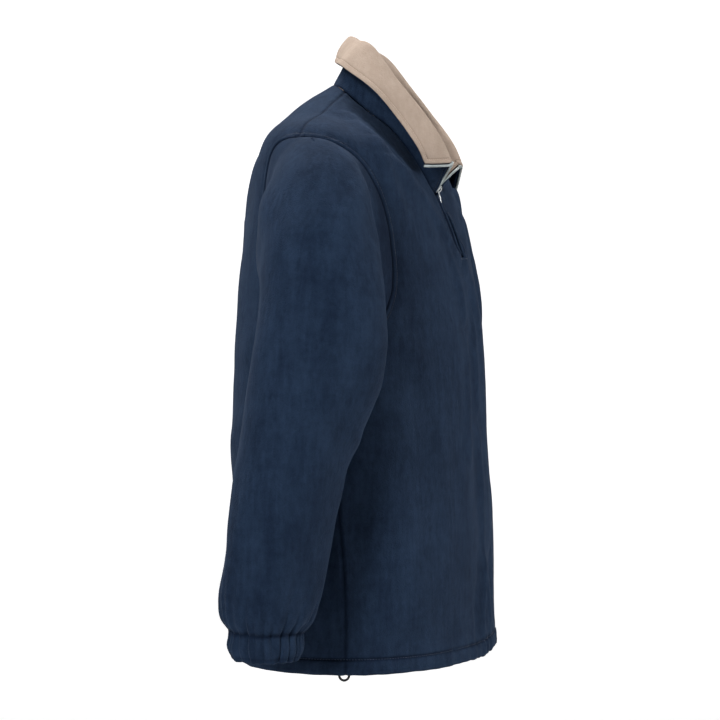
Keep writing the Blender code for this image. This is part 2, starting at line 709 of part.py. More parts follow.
def make_tape(name, side, finish):
    """One side's tape: behind the front, then along the collar's front edge to its corner."""
    edge = CHAIN_HALF_WIDTH + TAPE_FROM_CHAIN
    spread = np.array([edge, SLIT_HALF_WIDTH, SLIT_HALF_WIDTH + TAPE_HIDDEN])
    levels = panel_levels()
    levels = levels[(levels >= ZIP_FOOT) & (levels < level_below_neck(TAPE_NARROWS))]
    rows = [tape_on_torso(side, level, spread, FLEECE + SEAM_GAP) for level in levels]
    spread = np.linspace(edge, SLIT_HALF_WIDTH - SEAM_GAP, 3)
    rows.append(tape_on_torso(side, level_below_neck(TAPE_NARROWS), spread, FLEECE))
    for v in COLLAR_ROWS:
        depth = (COLLAR_THICKNESS + TAPE_THICKNESS) / 2
        rows.append(collar_zip_place(side, np.full(3, v), SLIT_HALF_WIDTH - spread, depth))
    return strip(name, rows, TAPE_THICKNESS, finish)


def make_open_chain(name, side, finish):
    """One side's teeth above the neck seam, as a plain bar along the tape's edge."""
    rows = []
    inner_edge = SLIDER["post_width"] / 2 + SLIDER["clearance"]
    beyond = SLIT_HALF_WIDTH - np.array([CHAIN_HALF_WIDTH, inner_edge])
    for v in (CHAIN_START, *COLLAR_ROWS[1:]):
        depth = (COLLAR_THICKNESS + CHAIN_THICKNESS) / 2
        rows.append(collar_zip_place(side, np.full(2, v), beyond, depth))
    return strip(name, rows, CHAIN_THICKNESS, finish)


STOP_LEVELS = [ZIP_FOOT + gap for gap in (STOP_FROM_FOOT, STOP_FROM_FOOT + STOP_LENGTH)]


def across_chain(level, half_width, depth):
    """Both edges of a strip that lies along the meshed teeth, at one level."""
    sides = [torso_zip_place(side, np.array([level]), np.array([half_width]), depth) for side in SIDES]
    return np.vstack([place for place, _ in sides]), np.vstack([out for _, out in sides])


def make_closed_chain(finish):
    """The meshed teeth below the neck seam, as a plain bar down to the slit's foot."""
    levels = panel_levels(*STOP_LEVELS)
    levels = [level for level in levels if STOP_LEVELS[0] <= level < NECK_LEVEL - SEAM_GAP]
    levels.append(level_below_neck(0.0015))
    rows = [across_chain(level, CHAIN_HALF_WIDTH, CHAIN_DEPTH) for level in levels]
    return strip("zip_chain", rows, CHAIN_THICKNESS, finish)


# ---------------------------------------------------------------- slider, stop and pull tab

def slider_frame():
    """Where the slider sits on the closed teeth: its place, way down, and way out."""
    v = np.array([0.03, 0.24])
    middle = np.full(2, SLIT_HALF_WIDTH - CHAIN_HALF_WIDTH / 2)
    points, _ = collar_zip_place(-1, v, middle, COLLAR_THICKNESS / 2)
    points[:, 0] = 0.0
    down = unit(points[0] - points[1])
    out = np.array([0.0, down[2], -down[1]])
    return points[0] - down * SLIDER["above_seam"], down, out


def block(name, frame, centre, size, finish=None):
    """A box in the slider's frame: centre and size are (across, down, out)."""
    place, down, out = frame
    axes = np.array([[1.0, 0.0, 0.0], down, out])
    half = np.array(size) / 2
    signs = [(x, y, z) for x in (-1, 1) for y in (-1, 1) for z in (-1, 1)]
    corners = [place + (np.array(centre) + half * sign) @ axes for sign in signs]
    faces = [(0, 1, 3, 2), (4, 6, 7, 5), (0, 4, 5, 1), (2, 3, 7, 6), (0, 2, 6, 4), (1, 5, 7, 3)]
    return make_object(name, corners, facing_out(np.array(corners), faces), finish, smooth=False)


def join(body, pieces):
    """Unite guide pieces into a body, and leave the pieces out of the model."""
    for piece in pieces:
        union = body.modifiers.new(piece.name, "BOOLEAN")
        union.operation = "UNION"
        union.solver = "EXACT"
        union.object = piece
        piece.hide_render = True
        piece.display_type = "WIRE"


def make_slider(finish):
    frame = slider_frame()
    size = SLIDER
    face = CHAIN_THICKNESS / 2 + size["clearance"]
    plate = (size["width"], size["length"], size["plate"])
    front = block("zip_slider", frame, (0, 0, face + size["plate"] / 2), plate, finish)
    back = block("slider_back_guide", frame, (0, 0, -face - size["plate"] / 2), plate, finish)
    post_down = (size["post_length"] - size["length"]) / 2 + size["inset"]
    post_size = (size["post_width"], size["post_length"], 2 * face + size["plate"])
    post = block("slider_post_guide", frame, (0, post_down, 0), post_size, finish)
    pieces = [back, post]
    reach = face + size["plate"]
    height = size["bridge_height"]
    foot = (size["bridge_width"], size["plate"], height + size["plate"])
    for end in SIDES:
        centre = (0, end * (size["bridge_length"] - size["plate"]) / 2, reach + height / 2)
        pieces.append(block(f"slider_foot_guide{end}", frame, centre, foot, finish))
    narrower = 2 * size["inset"]
    span = (size["bridge_width"] - narrower, size["bridge_length"] - narrower, size["plate"])
    top = (0, 0, reach + height + size["plate"] / 4)
    pieces.append(block("slider_bridge_guide", frame, top, span, finish))
    join(front, pieces)


def pull_frame():
    """The pull tab's hinge on the slider's bridge, and its hanging direction."""
    place, down, out = slider_frame()
    reach = CHAIN_THICKNESS / 2 + SLIDER["clearance"] + SLIDER["plate"]
    low = (SLIDER["bridge_length"] / 2 - SLIDER["plate"]) - SEAM_GAP - PULL["bar"] / 2
    pivot = place + down * low + out * (reach + SEAM_GAP + PULL["bar"] / 2 + 0.0004)
    lean = math.radians(PULL["lean"])
    hang = np.array([0.0, -math.sin(lean), -math.cos(lean)])
    return pivot, hang, np.array([0.0, -math.cos(lean), math.sin(lean)])


def make_pull_tab(finish):
    """A flat tab with an eye whose bar turns under the slider's bridge."""
    pivot, hang, out = pull_frame()
    frame = (np.zeros(3), hang, out)
    size = PULL
    plate_length = size["length"] - size["eye"]
    plate = (size["width"], plate_length, size["thickness"])
    tab = block("pull_tab", frame, (0, size["eye"] + plate_length / 2, 0), plate, finish)
    pieces = []
    for side in SIDES:
        centre = (side * ((size["width"] - size["arm"]) / 2 - size["inset"]), size["eye"] / 2, 0)
        arm_size = (size["arm"], size["eye"] + size["bar"], size["bar"])
        pieces.append(block(f"pull_arm_guide{side}", frame, centre, arm_size, finish))
    bar = (size["width"] - size["arm"] - 2 * size["inset"], size["bar"] - size["inset"],
           size["bar"] - size["inset"])
    pieces.append(block("pull_bar_guide", frame, (0, 0, 0), bar, finish))
    join(tab, pieces)
    for piece in [tab, *pieces]:
        piece.location = pivot


def make_stop(finish):
    """The zip's bottom stop, a clip over the last teeth."""
    depth = CHAIN_DEPTH - SEAM_GAP - STOP_THICKNESS
    levels = panel_levels(*STOP_LEVELS)
    levels = [level for level in levels if STOP_LEVELS[0] <= level <= STOP_LEVELS[1]]
    rows = [across_chain(level, STOP_HALF_WIDTH, depth) for level in levels]
    return strip("zip_stop", rows, STOP_THICKNESS, finish)


# ---------------------------------------------------------------- hem cord

def make_cord(name, side, finish):
    """A short loop of the hem's elastic cord, out of the casing and back into it."""
    level = np.array([0.0])
    across = np.array([CORD_ACROSS])
    inside = FLEECE + TURN_UP_LAYER + SEAM_GAP + CORD_CLEARANCE + CORD_DIAMETER / 2
    surface = torso(side)(across, level) - torso_out(side, across, level) * inside
    ahead = torso(side)(across - 0.01, level) - torso(side)(across + 0.01, level)
    along = unit(ahead * (1, 1, 0))[0]
    low = surface[0]
    route = []
    straight = np.linspace(CORD_REACH_UP, CORD_LOOP_RADIUS - CORD_DROP, 6)
    route += [low - along * CORD_LOOP_RADIUS + (0, 0, height) for height in straight]
    centre = low + (0, 0, CORD_LOOP_RADIUS - CORD_DROP)
    upward = np.array([0.0, 0.0, 1.0])
    for turn in np.linspace(math.pi, 2 * math.pi, 13)[1:-1]:
        route.append(centre + CORD_LOOP_RADIUS * (along * math.cos(turn) + upward * math.sin(turn)))
    route += [low + along * CORD_LOOP_RADIUS + (0, 0, height) for height in reversed(straight)]
    curve = bpy.data.curves.new(name, "CURVE")
    curve.dimensions = "3D"
    curve.bevel_depth = CORD_DIAMETER / 2
    curve.bevel_resolution = 2
    curve.use_fill_caps = True
    spline = curve.splines.new("POLY")
    spline.points.add(len(route) - 1)
    for point, place in zip(spline.points, route):
        point.co = (*map(float, place), 1.0)
    curve.materials.append(finish)
    cord = bpy.data.objects.new(name, curve)
    bpy.context.collection.objects.link(cord)


# ---------------------------------------------------------------- the whole garment

def main():
    for old in list(bpy.data.objects):
        bpy.data.objects.remove(old)
    navy = material("navy_fleece", (0.016, 0.028, 0.055), 0.95)
    beige = material("beige_fleece", (0.46, 0.35, 0.28), 0.95)
    tape = material("black_tape", (0.012, 0.013, 0.015), 0.80)
    teeth = material("silver_teeth", (0.55, 0.58, 0.58), 0.40)
    metal = material("silver_metal", (0.75, 0.77, 0.78), 0.30, 1.0)
    stop = material("grey_stop", (0.16, 0.14, 0.15), 0.55)
    cord = material("black_cord", (0.012, 0.012, 0.014), 0.75)

    make_front(navy)
    make_back(navy)
    make_hem("hem_front", front_columns, navy)
    make_hem("hem_back", back_columns, navy)
    sleeve_end = CUFF_START - SEAM_GAP
    sleeve_lengths = np.linspace(0, 1, SLEEVE_ROWS + 1) ** 1.15 * sleeve_end
    cuff_lengths = np.linspace(CUFF_START + SEAM_GAP, ARM_LENGTHS[-1], 3)
    for side, side_name in SIDE_NAMES.items():
        make_arm_piece(f"sleeve_{side_name}", side, 2 * ROWS_OF_ARMHOLE, sleeve_lengths, navy)
        make_arm_piece(f"cuff_{side_name}", side, CUFF_COLUMNS, cuff_lengths, navy)
        make_tape(f"zip_tape_{side_name}", side, tape)
        make_open_chain(f"zip_chain_{side_name}", side, teeth)
        make_cord(f"hem_cord_{side_name}", side, cord)
    make_collar("collar_outer", COLLAR_LAYER, navy)
    make_collar("collar_inner", COLLAR_THICKNESS, beige)
    make_closed_chain(teeth)
    make_stop(stop)
    make_slider(metal)
    make_pull_tab(metal)


main()
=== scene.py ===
"""Zip fleece pullover: detailed cloth, zip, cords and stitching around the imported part.

Metres, +Z up. The wearer faces -Y and their right arm is on -X. Each cloth piece is a thin
wall on the same smooth surface as its solid, cut much finer, with its creases, gathers,
sewn grooves and turned edges.
"""
import json
from math import copysign, cos, pi, radians, sin, sqrt

import bpy
import numpy as np
from bpy.props import FloatProperty, FloatVectorProperty, IntProperty, PointerProperty
from bpy.types import Operator, Panel, PropertyGroup
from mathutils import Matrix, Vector, noise
from mathutils.kdtree import KDTree


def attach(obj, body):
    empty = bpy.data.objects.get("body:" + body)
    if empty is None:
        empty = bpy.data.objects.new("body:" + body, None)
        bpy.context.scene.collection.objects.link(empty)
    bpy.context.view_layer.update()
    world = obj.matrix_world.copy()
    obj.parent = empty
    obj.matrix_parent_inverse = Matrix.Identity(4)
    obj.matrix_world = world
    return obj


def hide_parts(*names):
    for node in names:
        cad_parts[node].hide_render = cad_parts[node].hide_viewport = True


bl_info = {
    "name": "Zip fleece pullover",
    "version": (1, 0, 0),
    "blender": (4, 5, 0),
    "location": "3D View > Sidebar > Pullover",
    "description": "Makes a quarter-zip fleece pullover piece by piece",
    "category": "Object",
}

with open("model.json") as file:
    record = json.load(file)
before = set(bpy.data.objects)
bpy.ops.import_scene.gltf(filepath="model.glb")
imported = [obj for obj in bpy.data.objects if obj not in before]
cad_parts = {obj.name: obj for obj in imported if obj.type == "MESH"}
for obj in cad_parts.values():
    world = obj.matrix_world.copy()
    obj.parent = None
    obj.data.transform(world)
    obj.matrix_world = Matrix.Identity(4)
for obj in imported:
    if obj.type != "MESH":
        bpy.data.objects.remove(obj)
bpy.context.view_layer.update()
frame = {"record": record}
HINGE = np.array(frame["record"]["behaviour"]["joints"][0]["pos_m"])

# Cloth and seams. EDGE_GAP is how far each cloth edge stops short of its seam: below zero, so
# neighbouring pieces run into each other a little where the solids keep a seam gap apart.
FLEECE = 0.0025
COLLAR_LAYER = 0.0022
TAPE_THICKNESS = 0.0008
SEAM_GAP = 0.0003
EDGE_GAP = -0.0003
SLEEVE_TUCK = 0.0006
SLIT_CLOSES_BY = 0.0024

# Torso sections from the hem up, right half. Each is a rounded ring whose front, side and
# back points are given. seam is where side seam and shoulder seam cross it, in degrees
# round from the centre front.
TORSO_COLUMNS = ("side_z", "front_z", "back_z", "half_width", "front_y", "back_y",
                 "centre_y", "roundness", "seam")
TORSO_SECTIONS = {
    "hem": (-0.698, -0.698, -0.698, 0.233, -0.1605, 0.135, 0.0, 2.35, 80),
    "hip": (-0.62, -0.62, -0.62, 0.237, -0.156, 0.137, 0.0, 2.35, 80),
    "waist": (-0.46, -0.46, -0.455, 0.236, -0.147, 0.14, 0.0, 2.3, 83),
    "chest": (-0.33, -0.332, -0.322, 0.233, -0.1405, 0.138, 0.0, 2.25, 85),
    "underarm": (-0.24, -0.262, -0.212, 0.23, -0.134, 0.133, 0.0, 2.2, 88),
    "yoke": (-0.15, -0.206, -0.132, 0.232, -0.12, 0.124, 0.002, 2.1, 91),
    "shoulder_tip": (-0.086, -0.171, -0.075, 0.233, -0.108, 0.108, 0.005, 1.95, 92),
    "shoulder": (-0.046, -0.148, -0.024, 0.15, -0.0995, 0.08, 0.006, 1.9, 91),
}

# The neck seam, by degrees round from the centre front, right half
NECK_COLUMNS = ("angle", "x", "y", "z")
NECK_STATIONS = [
    (0, 0.0, -0.0925, -0.135),
    (35, -0.05, -0.073, -0.086),
    (50, -0.065, -0.055, -0.06),
    (70, -0.072, -0.025, -0.035),
    (90, -0.06, 0.006, -0.01),
    (125, -0.04, 0.026, 0.001),
    (152, -0.02, 0.033, 0.004),
    (180, 0.0, 0.035, 0.005),
]

# The armhole: its ends in metres up the cloth, how far it reaches from the side seam towards
# the centre front and centre back, and how square its oval is
ARMHOLE = {"low": 0.387, "high": 0.618, "front_reach": 0.265, "back_reach": 0.185, "power": 2.5}
ARMHOLE_MIDDLE = (ARMHOLE["high"] + ARMHOLE["low"]) / 2
ARMHOLE_HALF = (ARMHOLE["high"] - ARMHOLE["low"]) / 2

# Arm sections from just past the armhole down, right arm: the outer and inner points, the
# middle of the section and its half depth from front to back.
ARM_COLUMNS = ("outer_x", "outer_z", "inner_x", "inner_z", "centre_y", "half_depth")
ARM_SECTIONS = {
    "crown": (-0.262, -0.097, -0.237, -0.3135, -0.014, 0.073),
    "biceps": (-0.298, -0.124, -0.2415, -0.319, -0.02, 0.074),
    "upper": (-0.332, -0.176, -0.2445, -0.329, -0.0295, 0.072),
    "middle": (-0.354, -0.25, -0.246, -0.353, -0.034, 0.0735),
    "elbow": (-0.362, -0.335, -0.247, -0.392, -0.0265, 0.075),
    "below_elbow": (-0.365, -0.415, -0.248, -0.442, -0.009, 0.0655),
    "forearm": (-0.367, -0.5, -0.251, -0.51, 0.008, 0.063),
    "lower": (-0.368, -0.565, -0.258, -0.57, 0.018, 0.06),
    "blouse": (-0.367, -0.606, -0.269, -0.608, 0.0246, 0.0577),
    "gather": (-0.364, -0.627, -0.279, -0.628, 0.0264, 0.0514),
    "cuff_seam": (-0.36, -0.6385, -0.2865, -0.639, 0.0262, 0.0422),
    "cuff_middle": (-0.358, -0.655, -0.2885, -0.6552, 0.0268, 0.0418),
    "cuff_edge": (-0.3565, -0.67, -0.2895, -0.67, 0.0256, 0.037),
}
LEFT_SLEEVE_BACK = 0.026

# The collar by degrees round the neck seam, right half: the top of its roll and its outer
# edge. left_back is how much further back both lie on the left.
COLLAR_COLUMNS = ("angle", "fold_x", "fold_y", "fold_z", "edge_x", "edge_y", "edge_z", "left_back")
COLLAR_STATIONS = [
    (0, -0.033, -0.119, -0.098, -0.066, -0.095, -0.103, 0.0),
    (35, -0.062, -0.108, -0.06, -0.09, -0.085, -0.076, 0.01),
    (50, -0.075, -0.094, -0.037, -0.099, -0.07, -0.052, 0.014),
    (70, -0.079, -0.06, 0.006, -0.106, -0.04, -0.016, 0.014),
    (90, -0.07, -0.035, 0.0385, -0.092, -0.003, 0.012, 0.012),
    (125, -0.046, -0.008, 0.054, -0.057, 0.013, 0.022, 0.003),
    (152, -0.0245, 0.006, 0.062, -0.0265, 0.0245, 0.03, 0.0),
    (180, 0.0, 0.009, 0.0645, 0.0, 0.0285, 0.0335, 0.0),
]
# The left flap's front corner hangs down more than the right one's: how far its outer edge
# moves towards the middle, forwards and down, and the degrees over which that fades out.
LEFT_CORNER = (0.014, -0.011, -0.022)
LEFT_CORNER_SPREAD = 24
COLLAR_THICKNESS = 2 * COLLAR_LAYER + SEAM_GAP
ROLL_RADIUS = 0.0025
COLLAR_CROWN = 0.003
COLLAR_HOLLOW = 0.0025
# How far round the zip holds the stand in, in degrees, and how fast that lets go up the stand
ZIP_CLOSED_SPREAD = 14
ZIP_CLOSED_POWER = 1.8

# Zip. TOOTH_MIDDLE is from the slit's centre line to a tooth's middle. The open teeth start
# CHAIN_START up the stand.
SLIT_HALF_WIDTH = 0.0065
CHAIN_HALF_WIDTH = 0.0025
CHAIN_THICKNESS = 0.0022
CHAIN_DEPTH = 0.0012
CHAIN_DEEPER = 0.0007
CHAIN_START = 0.16
TOOTH_MIDDLE = 0.0021
TOOTH_OFFSET = {-1: 0.75, 1: 0.25}
ZIP_RUN_STEP = 0.2
TAPE_HIDDEN = 0.006
TAPE_NARROWS = 0.004
TAPE_FROM_CHAIN = 0.0007
ZIP_BELOW_NECK = 0.084
STOP_LENGTH = 0.012
STOP_FROM_FOOT = 0.001
STOP_HALF_WIDTH = 0.0027
STOP_THICKNESS = 0.0009
STOP_RIB_SPACING = 0.003
# The slider's lip is the bar along the side of its plates, and bridge_clear the metal over the
# tab's bar. bridge_bow squares the bridge's arch.
SLIDER = {"length": 0.01, "width": 0.0076, "plate": 0.001, "clearance": 0.0004,
          "corner": 0.0006, "lip": 0.00038, "bridge_width": 0.0016, "bridge_length": 0.0076,
          "bridge_clear": 0.00095, "bridge_bow": 0.55, "bridge_flat": 0.62}
PULL = {"length": 0.018, "width": 0.0044, "thickness": 0.0013, "arm": 0.0011,
        "bar": 0.0009, "eye": 0.0052, "lean": 10.0, "corner": 0.0009, "rim": 0.00032}

# Hem casing and its elastic cord
TURN_UP_LAYER = 0.0022
CORD_DIAMETER = 0.0028
CORD_CLEARANCE = 0.0014
CORD_LOOP_RADIUS = 0.0056
CORD_DROP = 0.0072
CORD_REACH_UP = 0.015
CORD_ACROSS = 1.005

# Folds of the torso, right to left: across is 0 at the centre front, 1 at the left seam
# and 2 at the centre back, negative on the right. up is metres along the cloth from the hem.
FOLD_COLUMNS = ("from_across", "from_up", "to_across", "to_up", "width", "height")
TORSO_FOLDS = {
    "left_of_zip": (0.05, 0.66, 0.055, 0.5, 0.022, 0.0055),
    "below_zip": (0.02, 0.475, 0.16, 0.4, 0.014, -0.004),
    "chest_right": (-0.86, 0.7, -0.42, 0.54, 0.02, 0.004),
    "chest_left": (0.82, 0.69, 0.45, 0.52, 0.022, 0.004),
    "front_left_ridge": (0.14, 0.57, 0.22, 0.12, 0.038, 0.0055),
    "front_right_ridge": (-0.34, 0.42, -0.3, 0.06, 0.045, 0.0035),
    "hem_left_trough": (0.3, 0.15, 0.24, 0.03, 0.012, -0.0035),
    "hem_right_trough": (-0.14, 0.13, -0.2, 0.02, 0.014, -0.0025),
    "side_right": (-0.8, 0.33, -0.74, 0.05, 0.03, 0.004),
    "side_left": (0.82, 0.34, 0.76, 0.06, 0.03, 0.004),
    "back_right": (-1.45, 0.52, -1.55, 0.08, 0.045, 0.0045),
    "back_left": (1.5, 0.54, 1.42, 0.06, 0.045, 0.0045),
    "back_middle": (-1.98, 0.42, 1.98, 0.1, 0.04, -0.003),
}
QUARTER_GIRTH = 0.31

# Folds of the right sleeve: turn is degrees from the outside towards the front, along is
# metres down from the armhole, and slant is how far round a fold moves over its length.
SLEEVE_FOLD_COLUMNS = ("turn", "slant", "along", "length", "spread", "height")
SLEEVE_FOLDS = {
    "front_hollow": (70, 25, 0.3, 0.09, 26, -0.003),
    "elbow_back": (-95, 20, 0.27, 0.07, 24, 0.003),
    "outer_ridge": (20, -15, 0.42, 0.11, 24, 0.003),
    "inner_hollow": (170, 10, 0.38, 0.12, 34, -0.003),
}

# How far from the armhole a sleeve's folds reach their whole height
FOLDS_START = 0.02

# Elastic gathers of a cuff, how far they fade out up the sleeve, and how much more flat cloth
# goes into a cuff than its outside shows
GATHERS = 25
GATHER_DEPTH = 0.003
GATHER_REACH = 0.04
GATHER_TAKE_UP = 1.15
# How far a gather may stray and its half width, as shares of the spacing, and the range of
# depths and reaches
GATHER_STRAY = 0.34
GATHER_WIDTHS = (0.14, 0.24)
GATHER_DEPTHS = (0.5, 1.2)
GATHER_REACHES = (0.35, 1.45)

# Stiff bends of the cloth that the solids leave out, in the same form as the folds above
TORSO_CREASES = {
    "shoulder_roll_right": (-0.8, 0.735, -0.5, 0.64, 0.012, 0.003),
    "shoulder_roll_left": (0.8, 0.735, 0.5, 0.64, 0.012, 0.003),
    "shoulder_dip_right": (-0.7, 0.69, -0.52, 0.585, 0.011, -0.0026),
    "shoulder_dip_left": (0.7, 0.69, 0.52, 0.585, 0.011, -0.0026),
    "shoulder_ridge_right": (-0.88, 0.735, -0.71, 0.632, 0.013, 0.006),
    "chest_ridge_right": (-0.72, 0.628, -0.02, 0.532, 0.014, 0.0078),
    "armhole_ridge_right": (-0.775, 0.655, -0.655, 0.55, 0.009, 0.0044),
    "front_right_line": (-0.27, 0.545, -0.17, 0.41, 0.013, 0.0052),
    "front_right_line_low": (-0.17, 0.4, -0.28, 0.23, 0.017, 0.005),
    "front_centre_line": (0.01, 0.425, 0.04, 0.29, 0.013, 0.003),
    "front_centre_line_low": (0.04, 0.28, -0.05, 0.05, 0.014, 0.0044),
    "shoulder_ridge_left": (0.86, 0.735, 0.72, 0.64, 0.011, 0.003),
    "chest_ridge_left": (0.69, 0.62, 0.2, 0.54, 0.014, 0.0034),
    "underarm_front_right": (-0.8, 0.42, -0.6, 0.34, 0.016, 0.0028),
    "underarm_front_left": (0.8, 0.425, 0.62, 0.335, 0.016, 0.0028),
    "underarm_back_right": (-1.16, 0.42, -1.34, 0.35, 0.017, 0.0026),
    "underarm_back_left": (1.16, 0.425, 1.36, 0.345, 0.017, 0.0026),
    "zip_buckle_low": (0.04, 0.5, 0.12, 0.48, 0.012, -0.0009),
    "zip_buckle_mid": (0.04, 0.56, 0.12, 0.555, 0.014, 0.0009),
    "below_stop": (0.0, 0.47, 0.05, 0.38, 0.01, 0.002),
    "front_left_wave": (0.3, 0.42, 0.33, 0.15, 0.022, -0.0034),
    "front_left_fold": (0.48, 0.44, 0.56, 0.11, 0.02, 0.0036),
    "front_right_wave": (-0.12, 0.4, -0.1, 0.12, 0.026, -0.002),
    "front_right_soft": (-0.52, 0.38, -0.55, 0.08, 0.03, 0.0024),
    "hem_v_left": (0.2, 0.12, 0.16, 0.018, 0.009, -0.0034),
    "hem_v_right": (0.05, 0.115, 0.11, 0.018, 0.008, 0.0034),
    "hem_v_near": (-0.03, 0.12, -0.13, 0.02, 0.008, 0.0034),
    "hem_v_dip": (0.0, 0.085, -0.01, 0.018, 0.009, -0.003),
    "hem_dip_front": (-0.2, 0.09, -0.23, 0.018, 0.01, -0.0024),
    "side_hollow_right": (-0.92, 0.24, -0.95, 0.06, 0.02, -0.0022),
    "side_hollow_left": (0.92, 0.23, 0.95, 0.05, 0.02, -0.0022),
    "blade_right": (-1.34, 0.6, -1.6, 0.49, 0.024, 0.0042),
    "blade_left": (1.36, 0.6, 1.62, 0.48, 0.024, 0.0042),
    "yoke_dip": (-1.82, 0.64, 1.82, 0.655, 0.02, -0.0018),
    "back_waist_right": (-1.2, 0.31, -1.6, 0.225, 0.02, 0.004),
    "back_drop_right": (-1.66, 0.44, -1.72, 0.12, 0.022, -0.0032),
    "back_waist_left": (1.22, 0.295, 1.58, 0.23, 0.02, 0.0038),
    "back_drop_left": (1.74, 0.43, 1.78, 0.1, 0.022, -0.003),
    "back_hem_right": (-1.62, 0.14, -1.66, 0.022, 0.013, -0.0026),
    "back_hem_left": (1.66, 0.13, 1.72, 0.022, 0.012, -0.0024),
    "back_hem_ridge": (-1.9, 0.12, -1.88, 0.02, 0.013, 0.0024),
}

# The same for a sleeve, in the form of its folds above
SLEEVE_CREASES = {
    "seam_hollow_front": (80, 0, 0.015, 0.021, 44, -0.0115),
    "head_roll": (8, 0, 0.038, 0.024, 50, 0.0048),
    "seam_hollow_back": (-76, 0, 0.016, 0.021, 46, -0.007),
    "head_front": (52, -18, 0.05, 0.06, 9, 0.002),
    "head_front_dip": (70, -14, 0.06, 0.055, 8, -0.0018),
    "head_back": (-55, 18, 0.055, 0.06, 9, 0.002),
    "head_back_dip": (-74, 14, 0.065, 0.055, 8, -0.0018),
    "underarm_front": (138, -25, 0.08, 0.06, 12, 0.0026),
    "underarm_back": (-140, 25, 0.085, 0.06, 12, 0.0024),
    "elbow_ring_high": (150, 55, 0.245, 0.028, 34, -0.0026),
    "elbow_ring_middle": (128, 60, 0.285, 0.026, 32, 0.0026),
    "elbow_ring_low": (150, 50, 0.33, 0.026, 34, -0.0024),
    "outer_soft_high": (-18, 12, 0.18, 0.09, 16, -0.0016),
    "outer_soft_low": (-30, -14, 0.37, 0.08, 15, 0.002),
    "back_soft": (-66, 12, 0.44, 0.075, 13, -0.0022),
    "front_soft": (46, 12, 0.45, 0.07, 13, -0.002),
    "wrist_fold_front": (24, 16, 0.52, 0.04, 7, 0.0026),
    "wrist_fold_dip": (38, 14, 0.528, 0.034, 6, -0.0022),
    "wrist_fold_back": (-42, -14, 0.522, 0.04, 8, 0.0024),
    "wrist_fold_inner": (120, 16, 0.52, 0.04, 9, 0.0024),
}

# How finely the cloth is cut. Near seams and sewn lines the grid closes up in these steps.
SEAM_STEPS = np.array([0, 0.7, 1.4, 2.2, 3.2, 4.4, 5.2, 5.8, 6.4, 7.2, 8.6, 10.5, 13.0]) / 1000
LINE_STEPS = np.array([-5, -3.2, -2, -1.2, -0.6, 0, 0.6, 1.2, 2, 3.2, 5]) / 1000
PANEL_STEP = 0.0043
ARMHOLE_ROWS = 56
FRONT_COLUMNS = 50
FRONT_BESIDE_CENTRE = np.array([0.0, 0.33, 0.67])
BACK_COLUMNS = 54
SLEEVE_COLUMNS = 150
UNDERARM_STEPS = np.array([-0.05, -0.03, -0.015, 0, 0.015, 0.03, 0.05])
SLEEVE_ROWS = 118
CUFF_COLUMNS = 190
CUFF_ROWS = 12
COLLAR_COLUMNS_A_SIDE = 84
COLLAR_ROWS = {"stand": 18, "roll": 9, "flap": 18}
ROLL_ROWS = 6
ROLL_EDGE = FLEECE + 0.00015
CUFF_TURN_UP_ROWS = 6
# Points nearer than this are one. A free edge bulges by this share of the cloth's thickness, and
# the inside's nap is darkened, as pressed nap and painted shade, by this share of the outside's.
WELD = 2e-5
EDGE_BULGE = 0.45
INSIDE_NAP = 0.25

# Sewn lines: how far in from its seam or edge each one runs
ARMHOLE_STITCH = 0.0062
COLLAR_STITCH = 0.0056
COLLAR_STITCHES_START = 0.05
NEAR_CORNER_COLUMNS = 14
ZIP_STITCH = 0.006
ZIP_STITCHES_BELOW = 0.004
HEM_STITCH = 0.018

# Grooves and ridges beside the seams and sewn lines of each piece: the line each runs along,
# how far off it, its height and width, and how flat and how widely the nap is pressed there,
# which darkens it as pressed nap and as painted shade in the groove
TORSO_SEAMS = {
    "side_seam": ("side", 0.0, -0.0007, 0.0017, 0.6, 0.002),
    "side_ridge": ("side", 0.005, 0.0004, 0.003, 0.0, 1.0),
    "armhole_seam": ("armhole", 0.0, -0.0004, 0.0012, 0.8, 0.0014),
    "armhole_stitches": ("armhole", ARMHOLE_STITCH, -0.0006, 0.0009, 1.0, 0.0013),
    "armhole_shelf": ("armhole", 0.009, -0.001, 0.0035, 0.0, 1.0),
    "neck_seam": ("neck", 0.0, -0.0009, 0.0016, 1.0, 0.002),
    "zip_stitches": ("slit", ZIP_STITCH, -0.0007, 0.0011, 1.0, 0.0013),
    "hem_stitches": ("hem", HEM_STITCH, -0.0012, 0.0016, 1.0, 0.002),
}
SLEEVE_SEAMS = {
    "armhole_seam": ("armhole", 0.0, -0.0004, 0.0012, 1.0, 0.0016),
    "cuff_seam": ("cuff", 0.0, -0.0008, 0.0018, 1.0, 0.0026),
    "underarm_seam": ("underarm", 0.0, -0.001, 0.0016, 1.0, 0.0018),
}
CUFF_SEAMS = {
    "cuff_seam": ("cuff", 0.0, -0.0009, 0.0018, 1.0, 0.0024),
    "turn_up_stitches": ("end", 0.0045, -0.0005, 0.0016, 0.5, 0.0018),
}
COLLAR_SEAMS = {
    "edge_stitches": ("edge", COLLAR_STITCH, -0.0006, 0.0012, 1.0, 0.0012),
    "neck_seam": ("neck", 0.0, -0.0006, 0.0016, 0.8, 0.002),
}
# The armhole's raised welt and the slit's lifted edge, right and left: height, where it starts
# to fall away and over how far
ARMHOLE_WELT = (0.0015, 0.0048, 0.0016)
SLIT_LIFT = {-1: 0.0022, 1: 0.0004}
SLIT_LIFT_FALL = (0.0045, 0.0045)
SLIT_LIFT_FROM_NECK = (0.016, 0.014)

